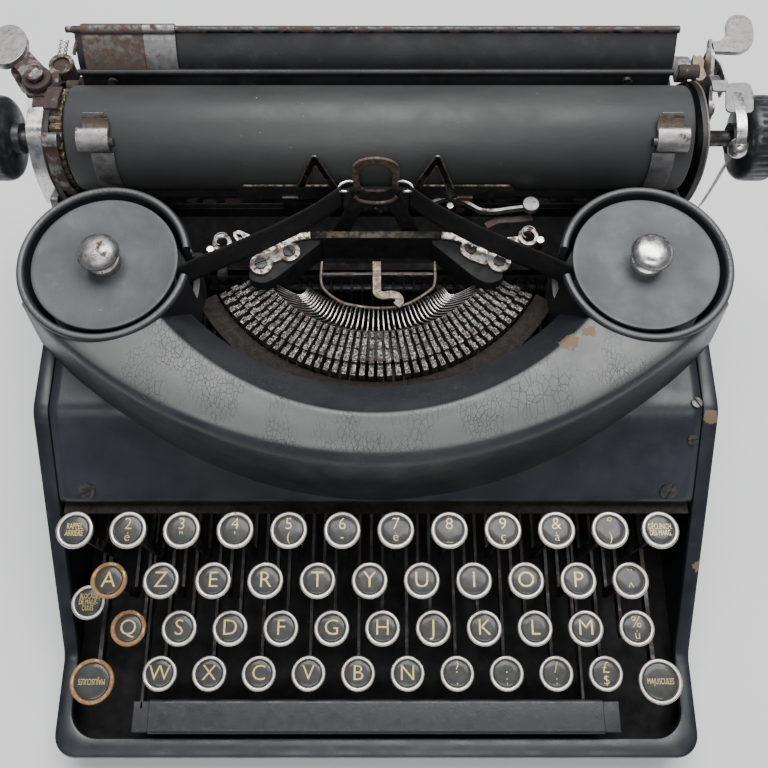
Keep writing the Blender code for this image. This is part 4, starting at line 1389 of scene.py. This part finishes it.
def segment():
    basket_plate(60.0, 47.5, 84.0, 87.8, radians(59.5), CARRIAGE_ENAMEL, "segment")
    basket_plate(76.5, 69.0, 87.9, 90.2, radians(61.0), BROWN_FELT, "typebar_rest_felt")
    bright = Model()
    frame_edge = [
        (-20.6, 38, 92), (-20.3, 27.8, 92), (-13.8, 21.5, 92), (-7.5, 19.5, 92), (1.1, 18.6, 92),
        (10.8, 19.9, 92),
        (19.5, 25.3, 92), (22.1, 29.1, 92), (22.3, 38, 92),
    ]
    bright.add(FRAME_RUST, tube(smooth_path(frame_edge, 5), 0.6))
    bright.add(STEEL, tube([(-20.5, 33.5, 90.5), (22.2, 33.5, 90.5)], 0.9))
    bright.piece("guide_frame", "frame")
    link = smooth_path(
        [
            (0.3, 35.8), (0.4, 24.9), (0.6, 22.8), (2.4, 21.8), (5.8, 22.1), (7.9, 21.4), (8.8, 19.4),
            (7.6, 17.7)
        ],
        4
    )
    Model().add(LINK_STEEL, strip("Z", link, 3.0, 95.4, 96.4)).piece("ribbon_lift_link", "frame", bevel=0.2)


def bridge():
    """Bridge across the type point with its two arms and the small ribbon brackets screwed to it."""
    model = Model()
    crown = [(-24.8, 84), (-24.8, 98.6), (-22.6, 100), (22.6, 99.8), (24.8, 98.6), (24.8, 84)]
    model.add(BRIDGE_PAINT, prism("Y", rounded(crown, 1.0, 2), 43.8, 46.9))
    for side in (-1, 1):
        arm = [(22, 46.9), (20.4, 43), (36.5, 28), (41.5, 25.4), (47, 27.2), (47.2, 31.5), (44, 34.6)]
        arm = rounded([(side * x, y) for x, y in arm], 2.0)
        model.add(BRIDGE_PAINT, prism("Z", arm, 86, 98.3))
    model.piece("bridge", "frame", bevel=0.4)

    plates = Model()
    for side, lobes in (
        (-1, ((-42.5, 33.1, 4.3), (-32.2, 38.3, 4.0))), (1, ((45.8, 34.2, 4.3), (35.4, 39.5, 4.0)))
    ):
        for k, (x, y, radius) in enumerate(lobes):
            outline = [
                (x + radius * cos(t), y + radius * sin(t)) for t in (2 * pi * i / 32 for i in range(32))
            ]
            plates.add(BRACKET_NICKEL, prism("Z", outline, 98.4, 99.7 - 0.04 * k))
        middle = rounded(
            [
                (side * u, v) for u,
                v in ((44.5, 36.4), (40.5, 32.6), (34.0, 35.4), (32.0, 41.0), (38.0, 41.6))
            ],
            1.0
        )
        plates.add(BRACKET_NICKEL, prism("Z", middle, 98.4, 99.62))
    arms = (
        [(-38.0, 39.0), (-34.0, 42.6), (-29.5, 44.6), (-24.6, 45.4)],
        [
            (-39.5, 38.6), (-44.0, 41.6), (-48.5, 44.4), (-52.4, 46.0), (-50.0, 41.5), (-53.4, 37.6),
            (-58.4, 37.4)
        ],
        [(36.0, 42.0), (31.8, 43.9), (28.2, 44.9), (24.6, 45.4)],
        [(36.5, 43.8), (41.0, 43.2), (46.1, 42.4), (51.0, 43.2), (54.4, 43.4)],
    )
    for path in arms:
        plates.add(BRACKET_NICKEL, strip("Z", smooth_path(path, 5), 2.9, 98.6, 99.56))
    for x, y, hole in ((-57.4, 41.6, 2.1), (57.0, 44.2, 2.3)):
        ring = [(hole, 98.8), (hole + 1.5, 98.8), (hole + 1.5, 100.6), (hole, 100.6)]
        plates.add(BRACKET_NICKEL, turned("Z", ring, (x, y), 32, closed=True))
    plates.add(BRIGHT_NICKEL, rod("Z", (-61.4, 38.2), 1.6, 96, 101.6))
    plates.add(BRIGHT_NICKEL, rod("Z", (61.2, 42.2), 1.7, 96, 101.6))
    plates.piece("ribbon_brackets", "frame", bevel=0.22)
    wires = Model()
    for x, y, turn in ((-57.4, 42.2, 0.6), (57.0, 45.0, 0.3)):
        loop = [
            (
                x + 2.6 * cos(t + turn), y + 2.6 * sin(t + turn), 102.0
            ) for t in (pi * k / 12 for k in range(16))
        ]
        wires.add(SATIN_NICKEL, tube(loop, 0.3, 8))
    wires.piece("bracket_wires", "frame", sharp=60)

    screws = Model()
    for x, y, turn in ((-42.5, 33.1, 0.4), (-32.2, 38.3, 2.2), (35.4, 39.5, 1.1), (45.8, 34.2, 2.6)):
        screws.add(STEEL, *screw_head(x, y, 99.6, 2.25, turn, 1.0))
    screws.piece("bridge_screws", "frame", bevel=0.12)

    lever = Model()
    curve = [
        (18.5, 53.6), (21.6, 56.0), (26.0, 57.6), (30.6, 57.2), (35.0, 54.8), (39.0, 52.4), (44.0, 52.0),
        (49.5, 52.9), (56.0, 53.8)
    ]
    lever.add(SATIN_NICKEL, strip("Z", smooth_path(curve, 5), 1.3, 103.6, 106.2))
    lever.add(
        RUST,
        strip(
            "Z", smooth_path([(41.0, 47.8), (46.0, 50.2), (52.0, 50.6), (58.6, 51.6)], 5), 2.6, 100.8, 102.0
        )
    )
    lever.add(SATIN_NICKEL, rod("Z", (57.6, 54.4), 3.2, 104.4, 107.0))
    lever.add(BRIGHT_NICKEL, rod("Z", (27.7, 54.6), 1.5, 95.4, 105.4))
    lever.piece("ribbon_lift_lever", "frame", bevel=0.2)

    pads = Model()
    for x0, x1, y0, y1 in (
        (-60.2, -56.4, 35.2, 39.2), (-58.6, -55.2, 28.0, 32.4), (-70.4, -64.6, 30.5, 38.4)
    ):
        pads.add(BROWN_FELT, box(x0, x1, y0, y1, 96.0, 99.0))
    pads.piece("bracket_felts", "frame", bevel=0.6)


def card_holders():
    """The two scale plates in front of the platen, each with its wire card finger."""
    model = Model()
    lean = Matrix.Translation((0, 40.4, 1.4)) @ Matrix.Rotation(radians(-9), 4, "X")
    for x0, x1 in ((-51.7, -11.9), (14.1, 51.9)):
        outline = [
            (x0, 105.4), (x0 + 0.6, 110.4), (x0 + 2.6, 112.7), (x1 - 2.6, 112.7), (x1 - 0.6, 110.4),
            (x1, 105.4)
        ]
        model.add(SCALE_PAINT, prism("Y", rounded(outline, 1.2, 3), 0, 0.9), matrix=lean)
        middle = (x0 + x1) / 2
        model.add(STEEL, box(middle - 3, middle + 3, 56.2, 57.4, 96, 107.6))
    model.piece("card_scales", "frame", bevel=0.18)
    fingers = Model()
    tip, foot = 130.6, 108.0
    for apex, left, right in ((-21.3, -30.2, -12.9), (21.6, 12.4, 29.7)):
        outer = [(left, foot), (apex - 0.7, tip), (apex + 0.7, tip), (right, foot)]
        inner = [(right - 2.5, foot), (apex, tip - 5.4), (left + 2.5, foot)]
        fingers.add(FINGER_BLACK, prism("Y", rounded(outer + inner, 0.5, 2), 57.95, 58.4))
        for edge in (rounded(outer, 0.6, 3), rounded(inner, 0.6, 3)):
            fingers.add(WIRE_STEEL, tube([(x, 58.15, z) for x, z in edge], 0.36, 8))
    fingers.piece("card_fingers", "frame", sharp=50)


# ---------------------------------------------------------------- carriage
def around_platen(x, radius, degrees):
    """A point at a radius from the platen's axis, at an angle up from straight ahead."""
    return (x, PLATEN_Y - radius * cos(radians(degrees)), PLATEN_Z + radius * sin(radians(degrees)))


def platen():
    roller = Model()
    radius = PLATEN_RADIUS
    profile = [(3.2, -110.5), (radius - 0.9, -110.5), (radius - 0.25, -110.2), (radius, -109.6)]
    profile += [(radius, 112.3), (radius - 0.25, 112.9), (radius - 0.9, 113.2), (3.2, 113.2)]
    roller.add(RUBBER, turned("X", profile, (PLATEN_Y, PLATEN_Z), 96, closed=True))
    roller.piece("platen_rubber_roller", "platen_roller", "platen_rubber", sharp=45, stands_for=["platen"])
    core = Model()
    teeth = []
    for k in range(96):
        turn = 2 * pi * k / 96
        r = (17.6, 17.6, 16.5)[k % 3]
        teeth.append((PLATEN_Y + r * cos(turn), PLATEN_Z + r * sin(turn)))
    core.add(BRASS, prism("X", teeth, -115.6, -111.4))
    core.add(NICKEL, rod("X", (PLATEN_Y, PLATEN_Z), 14.0, -111.5, -110.4, 48))
    core.add(NICKEL, rod("X", (PLATEN_Y, PLATEN_Z), 6.5, 113.1, 117.4, 32))
    core.add(RUST, rod("X", (PLATEN_Y, PLATEN_Z), 11.5, 113.0, 114.4, 48))
    core.add(STEEL, rod("X", (PLATEN_Y, PLATEN_Z), 2.95, -132.6, 132.6, 24))
    core.piece("platen_core", "platen_roller", bevel=0.25)
    for side, label in ((-1, "left"), (1, "right")):
        flutes = 32
        steps = flutes * 6
        levels = (
            (131.9, 5.6, 0), (134.3, 5.9, 0), (134.7, 7.2, 0), (135.2, 12.6, 0), (135.8, 14.2, 0),
            (136.8, 15.0, 0)
        )
        levels += ((138.0, 15.4, 0), (138.6, 15.5, 1), (145.4, 15.5, 1), (146.4, 15.1, 1), (147.0, 14.2, 0))
        sections = []
        for k in range(steps):
            turn = 2 * pi * k / steps
            dip = 0.42 * (1 - abs(cos(flutes * turn / 2)) ** 0.7)
            section = [(side * 131.9, PLATEN_Y, PLATEN_Z)]
            for x, r, fluted in levels:
                r = r - dip * fluted
                section.append((side * x, PLATEN_Y + r * cos(turn), PLATEN_Z + r * sin(turn)))
            section.append((side * 146.8, PLATEN_Y + 8.0 * cos(turn), PLATEN_Z + 8.0 * sin(turn)))
            section.append((side * 146.8, PLATEN_Y, PLATEN_Z))
            sections.append(section)
        knob = Model().add(MOULDING, loft(sections, closed_path=True, closed_section=False))
        knob.piece(
            f"{label}_knob", "platen_roller", "knob_plastic", sharp=50, stands_for=[f"{label}_platen_knob"]
        )


def end_plates():
    outline = [
        (61, 97), (61, 106.5), (63.4, 116.5), (71.5, 125.2), (88, 126.4), (99.6, 120), (108.2, 108),
        (108.2, 92.4), (70, 92.4)
    ]
    for side, label, finish in ((-1, "left", RUST), (1, "right", EDGE_PAINT)):
        plate = Model()
        near, far = sorted((side * 118.0, side * 119.4))
        plate.add(CARRIAGE_ENAMEL, prism("X", rounded(outline, 2.5), near, far))
        rim = smooth_path(
            [
                (61.2, 99), (61.2, 106.5), (63.6, 116.2), (71.5, 124.6), (88, 125.6), (99.2, 119.4),
                (107.4, 108)
            ],
            6
        )
        plate.add(CARRIAGE_ENAMEL, strip("X", rim, 0.8, *sorted((side * 117.4, side * 119.3))))
        plate.add(finish, strip("X", rim, 1.1, *sorted((side * 119.2, side * 119.95))))
        plate.add(NICKEL, rod("X", (PLATEN_Y, PLATEN_Z), 7.4, *sorted((side * 119.3, side * 121.6)), 32))
        for y, z in ((68.5, 108.0), (90.5, 121.0), (99.0, 100.0)):
            plate.add(STEEL, rod("X", (y, z), 2.2, *sorted((side * 119.3, side * 120.8)), 20))
        plate.piece(f"{label}_end_plate", "platen_carrier", bevel=0.25)


def paper_table():
    table = Model()
    path = smooth_path(
        [(100.9, 97.5), (101.4, 105.0), (102.3, 112.0), (104.0, 118.0), (107.2, 124.0), (113.0, 130.0)], 6
    )
    table.add(CARRIAGE_ENAMEL, strip("X", path, 1.3, -111.6, 111.6))
    table.add(CARRIAGE_ENAMEL, box(-118.2, 118.2, 101.0, 105.8, 93.2, 97.8))
    table.piece("paper_table", "platen_carrier", "carriage_enamel", bevel=0.2, stands_for=["platen_frame"])
    rods = Model()
    rods.add(HEM_PAINT, tube([(x, 113.4, 131.15) for x in (-112, -60, 0, 60, 112)], 1.35, 16))
    rods.add(BRASS, rod("X", (113.4, 131.15), 1.15, -114.6, -111.6))
    rods.add(CARRIAGE_ENAMEL, tube([(-111, 101.0, 122.8), (0, 101.0, 122.8), (111, 101.0, 122.8)], 1.2, 14))
    rods.piece("paper_table_rods", "platen_carrier", sharp=50)
    guide = Model()
    face = [(u - 1.1, v + 1.1) for u, v in smooth_path([(103.6, 118.4), (107.2, 124.0), (111.6, 128.8)], 6)]
    face += [
        (113.4 + 1.75 * cos(t), 131.15 + 1.75 * sin(t)) for t in (radians(200 - 14 * k) for k in range(14))
    ]
    guide.add(GUIDE_RUST, strip("X", face, 0.7, -108.6, -85.6))
    guide.add(SATIN_NICKEL, strip("X", face, 0.7, -86.2, -74.0))
    guide.add(
        STAINED_NICKEL,
        tube(smooth_path([(-109.0, 112.6, 129.4), (-111.4, 110.0, 127.6), (-112.2, 106.4, 126.0)], 5), 0.7)
    )
    guide.piece("paper_side_guide", "platen_carrier", bevel=0.15)
    screws = Model()
    for x in (-99.8, 95.2):
        place = Matrix.Translation((x, 101.6, 116.8)) @ Matrix.Rotation(radians(80), 4, "X")
        screws.add(STEEL, *screw_head(0, 0, 0, 2.0, 0.7, 0.8), matrix=place)
    screws.piece("paper_table_screws", "platen_carrier", bevel=0.12)


def paper_fingers():
    """The two thin fingers that hold the paper's edges to the platen."""
    for x, label in ((-99.6, "left"), (104.9, "right")):
        finger = Model()
        inward = -1 if x > 0 else 1
        tail = [around_platen(0, 19.35, a)[1:] for a in range(-58, 44, 6)]
        finger.add(SATIN_NICKEL, strip("X", tail, 0.5, x + 2.6 * inward - 4.1, x + 2.6 * inward + 4.1))
        crest = [19.4 + 2.1 * max(0.0, sin(pi * k / 12)) ** 0.45 for k in range(13)]
        outer = [around_platen(0, r, 39 + 26 * k / 12)[1:] for k, r in enumerate(crest)]
        inner = [around_platen(0, 19.2, 65 - 26 * k / 4)[1:] for k in range(5)]
        finger.add(NICKEL, prism("X", outer + inner, x - 5.7, x + 5.7))
        middle = x + 1.3 * inward
        curl = [around_platen(0, 19.8 + (a - 62) ** 2 * 0.014, a)[1:] for a in range(60, 77, 2)]
        finger.add(FRAME_RUST, strip("X", curl[:7], 0.8, middle - 4.7, middle + 4.7))
        finger.add(STAINED_NICKEL, strip("X", curl[6:8], 0.8, middle - 4.4, middle + 4.4))
        finger.add(SATIN_NICKEL, strip("X", curl[7:], 0.8, middle - 3.7, middle + 3.7))
        stub = sorted((x + 5.7 * inward, x + 7.4 * inward))
        finger.add(STEEL, rod("X", around_platen(0, 20.4, 50)[1:], 1.5, *stub, 16, 0.2))
        finger.piece(f"{label}_paper_finger", "platen_carrier", bevel=0.2)


def left_end():
    """Line-space works outside the left end plate, and the carriage lever on its pin."""
    works = Model()
    band = smooth_path(
        [
            (92, 119.2), (83.5, 118.6), (78.75, 118.0), (74.6, 114.2), (69.0, 106.0), (66.0, 96.0),
            (65.0, 91.0)
        ],
        5
    )
    works.add(BRIGHT_NICKEL, strip("X", band, 1.0, -129.3, -122.7))
    works.add(RUST, strip("X", [(88.0, 119.0), (93.0, 119.6), (99.0, 119.8)], 1.4, -127.8, -123.2))
    works.add(
        STAINED_NICKEL,
        prism("Z", rounded([(-131.5, 92), (-118.8, 92), (-118.8, 104), (-131.5, 104)], 4), 118.4, 120.9)
    )
    works.add(
        SATIN_NICKEL,
        prism("X", rounded([(58, 97.6), (66, 92.6), (66.5, 98.5), (60, 101.5)], 1.0), -124.0, -121.0)
    )
    works.add(STAINED_NICKEL, rod("Z", (-134.3, 104.5), 3.6, 110.5, 120.4, 28))
    works.add(
        RUST, box(-126.4, -113.0, 98.6, 108.4, 98.2, 112.0), rod("Z", (-119.6, 108.0), 4.5, 100, 118.6, 28)
    )
    works.add(
        BRASS,
        turned("Z", [(3.1, 118), (4.8, 118), (4.8, 119.6), (3.1, 119.6)], (-119.6, 108.0), 32, closed=True)
    )
    works.add(RUST, rod("X", (100.5, 115.5), 2.4, -117.5, -112.6, 20))
    works.add(STEEL, strip("Y", [(-131.0, 118.6), (-134.3, 118.2), (-136.2, 116.0)], 1.2, 102.6, 106.4))
    works.add(BRIGHT_NICKEL, rod("Z", (RETURN_PIVOT[0], RETURN_PIVOT[1]), 2.45, 118, 126.4, 24))
    works.piece("line_space_works", "platen_carrier", bevel=0.25)
    detent = Model()
    wrap = [around_platen(0, 19.0, a)[1:] for a in range(-34, 58, 6)]
    detent.add(STAINED_NICKEL, strip("X", wrap, 0.9, -117.2, -112.6))
    detent.add(SATIN_NICKEL, rod("X", around_platen(0, 19.6, 52)[1:], 2.5, -117.2, -111.6, 24))
    detent.add(RUST, rod("X", around_platen(0, 19.6, -30)[1:], 0.9, -116.8, -112.8, 20))
    cover = [around_platen(0, 19.3, a)[1:] for a in range(84, 118, 4)]
    detent.add(RUST, strip("X", cover, 1.6, -117.2, -112.0))
    detent.piece("ratchet_detent", "platen_carrier", bevel=0.2)
    coil = Model()
    turns = [
        (
            -121.2 + 1.5 * cos(t), 108.6 + t * 0.30, 116.6 + 1.5 * sin(t)
        ) for t in (k * pi / 5 for k in range(71))
    ]
    coil.add(BRIGHT_NICKEL, tube(turns, 0.32, 8))
    coil.piece("line_space_spring", "platen_carrier", sharp=60)
    lever = Model()
    x, y = RETURN_PIVOT
    lever.add(
        RUST,
        turned(
            "Z", [(2.8, 121.7), (5.4, 121.7), (5.4, 123.6), (5.0, 124.0), (2.8, 124.0)], (x, y), 40,
            closed=True
        )
    )
    arm = rounded(
        [
            (x - 5.2, y + 0.5), (x - 1.6, y + 4.4), (x + 2.8, y + 4.4), (x - 5.6, y + 13.6),
            (x - 12.6, y + 9.4)
        ],
        1.0
    )
    lever.add(STAINED_NICKEL, prism("Z", arm, 121.8, 123.7))
    lobe = [(x - 12.6 + 7.5 * cos(t), y + 14 + 9.4 * sin(t)) for t in (2 * pi * k / 40 for k in range(40))]
    lever.add(NICKEL, prism("Z", lobe, 122.3, 125.3))
    lever.piece("carriage_lever", "line_space_lever", "aged_nickel", bevel=0.5, stands_for=["return_lever"])
    cap = Model().add(STAINED_NICKEL, *screw_head(x, y, 126.0, 3.4, 1.0, 0.5))
    cap.piece("carriage_lever_screw", "platen_carrier", bevel=0.12)


def right_end():
    """Margin and paper-release pieces outside the right end plate."""
    works = Model()
    block = rounded(
        [(101.5, 116), (101.5, 121.8), (104, 122.9), (108.5, 122.4), (111.6, 119.6), (111.6, 116)], 1.2
    )
    works.add(NICKEL, prism("X", block, 113.2, 118.0))
    curl = smooth_path([(101.6, 119.0), (100.0, 121.2), (101.4, 123.4), (104.0, 123.2)], 5)
    works.add(RUST, strip("X", curl, 0.9, 113.0, 120.8))
    pad = [
        (119.6, 99.2), (120.6, 98.4), (123.4, 98.8), (123.8, 101.6), (123.2, 104.4), (124.0, 108.0),
        (123.0, 110.6), (121.4, 109.8)
    ]
    pad += [(120.2, 110.9), (119.4, 106.0), (119.9, 102.4)]
    works.add(TAN_FELT, prism("Z", pad, 118.6, 121.4))
    works.add(SATIN_NICKEL, box(119.5, 124.0, 98.6, 110.6, 117.2, 118.7))
    spring = smooth_path([(125.6, 113.0), (128.6, 109.4), (130.6, 105.0), (131.4, 97.5)], 5)
    works.add(BRIGHT_NICKEL, strip("Z", spring, 0.6, 112.4, 120.6))
    works.add(NICKEL, rod("X", RELEASE_PIVOT, 2.45, 118.4, 128.0, 20))
    works.piece("paper_release_works", "platen_carrier", bevel=0.25)
    shift = Model()
    tab = rounded([(124.2, 77.0), (134.0, 76.4), (135.4, 85.0), (134.6, 90.0), (126.0, 89.4)], 2.2)
    shift.add(SATIN_NICKEL, prism("Z", tab, 129.7, 130.6))
    band = smooth_path([(86.0, 130.1), (78.0, 130.7), (72.0, 130.2), (68.2, 128.6), (66.2, 126.4)], 5)
    shift.add(BRIGHT_NICKEL, strip("X", band, 0.9, 127.4, 131.2))
    shift.add(
        SATIN_NICKEL,
        strip(
            "X", smooth_path([(89.0, 130.1), (94.5, 128.0), (96.5, 122.0), (95.5, 114.0)], 5), 1.0, 121.0,
            124.8
        )
    )
    shift.add(
        SATIN_NICKEL,
        prism("Z", rounded([(121, 86.2), (127, 86.2), (127, 91), (121, 91)], 1.0), 129.6, 130.5)
    )
    shift.add(BRIGHT_NICKEL, ball((131.0, 68.5, 121.0), 3.65, 32))
    strut = smooth_path(
        [(130.6, 67.6, 119.6), (128.2, 65.6, 116.0), (125.8, 61.6, 108.0), (123.6, 58.4, 99.4)], 6
    )
    wide = Vector((0.72, 0.62, 0.30)).normalized() * 1.75
    thin = Vector((0.30, 0.05, -0.80)).normalized() * 0.55
    corners = ((1, 1), (1, -1), (-1, -1), (-1, 1))
    shift.add(
        SATIN_NICKEL, loft([[tuple(Vector(p) + wide * a + thin * b) for a, b in corners] for p in strut])
    )
    shift.piece("platen_release_lever", "platen_carrier", bevel=0.2, sharp=50)
    y, z = RELEASE_PIVOT
    lever = Model()
    lever.add(
        NICKEL,
        turned("X", [(2.8, 124.5), (5.2, 124.5), (5.2, 126.3), (2.8, 126.3)], (y, z), 40, closed=True)
    )
    arm = rounded(
        [
            (y - 1.6, z + 4.4), (y + 4.2, z - 1.4), (y + 21.6, z + 11.6), (y + 21.6, z + 13.6),
            (y + 14, z + 13.6)
        ],
        0.9, 3
    )
    lever.add(NICKEL, prism("X", arm, 124.5, 125.9))
    lobe = [
        (125.0, 107.6), (136.0, 107.0), (140.6, 110.6), (141.9, 116.0), (141.9, 121.6), (139.6, 125.0),
        (134.6, 124.8), (132.0, 121.4)
    ]
    lobe += [(131.6, 115.4), (128.6, 112.4), (125.0, 111.8)]
    lever.add(NICKEL, prism("Z", rounded(lobe, 2.4, 5), z + 11.7, z + 13.6))
    lever.piece(
        "paper_release_key", "paper_release", "aged_nickel", bevel=0.4, stands_for=["paper_release_lever"]
    )


def carriage_bed():
    bed = Model()
    bed.add(CARRIAGE_ENAMEL, box(-123, 123, 98.2, 109.8, 87.3, 89.9))
    for side in (-1, 1):
        x0, x1 = sorted((side * 121.1, side * 123.4))
        bed.add(
            CARRIAGE_ENAMEL,
            prism(
                "X", rounded([(98.2, 87.5), (109.8, 87.5), (109.8, 103), (106, 105.8), (98.2, 105.8)], 1.0),
                x0, x1
            )
        )
    bed.piece("carriage_bed", "carriage", "carriage_steel", bevel=0.3, stands_for=["carriage_truck"])


# ---------------------------------------------------------------- setting
def area_light(name, location, target, width, depth, power):
    light = bpy.data.lights.new(name, "AREA")
    light.shape = "RECTANGLE"
    light.size = width
    light.size_y = depth
    light.energy = power
    obj = bpy.data.objects.new(name, light)
    obj.location = location
    obj.rotation_euler = (Vector(target) - Vector(location)).to_track_quat("-Z", "Y").to_euler()
    bpy.context.scene.collection.objects.link(obj)


def setting():
    mesh = bpy.data.meshes.new("floor")
    half = 3.0
    mesh.from_pydata(
        [(-half, -half, 0), (half, -half, 0), (half, half, 0), (-half, half, 0)], [], [(0, 1, 2, 3)]
    )
    mesh.materials.append(floor_finish())
    floor = bpy.data.objects.new("floor", mesh)
    floor.location.z = -0.0002
    bpy.context.scene.collection.objects.link(floor)
    area_light("overhead", (0.10, 0.42, 1.15), (0.01, 0.03, 0.05), 1.15, 0.64, 21)
    area_light("crown_light", (0.0, -0.56, 1.05), (0, -0.04, 0.1), 0.9, 0.30, 5.0)
    world = bpy.data.worlds.new("studio")
    world.use_nodes = True
    background = world.node_tree.nodes["Background"]
    background.inputs["Color"].default_value = (0.78, 0.84, 0.96, 1)
    background.inputs["Strength"].default_value = 0.20
    bpy.context.scene.world = world
    lens = bpy.data.cameras.new("camera")
    lens.sensor_width = 36
    lens.lens = 39.84
    lens.clip_start = 0.01
    camera = bpy.data.objects.new("camera", lens)
    camera.location = (0.003, -0.12025, 0.3779)
    camera.rotation_euler = (radians(20.8), 0, 0)
    bpy.context.scene.collection.objects.link(camera)
    bpy.context.scene.camera = camera


body_shell()
inner_works()
feet()
front_panel()
ribbon_cover()
spools()
vibrator()
ribbon()
typebars()
segment()
bridge()
card_holders()
keys()
space_bar()
carriage_bed()
platen()
end_plates()
paper_table()
paper_fingers()
left_end()
right_end()
setting()
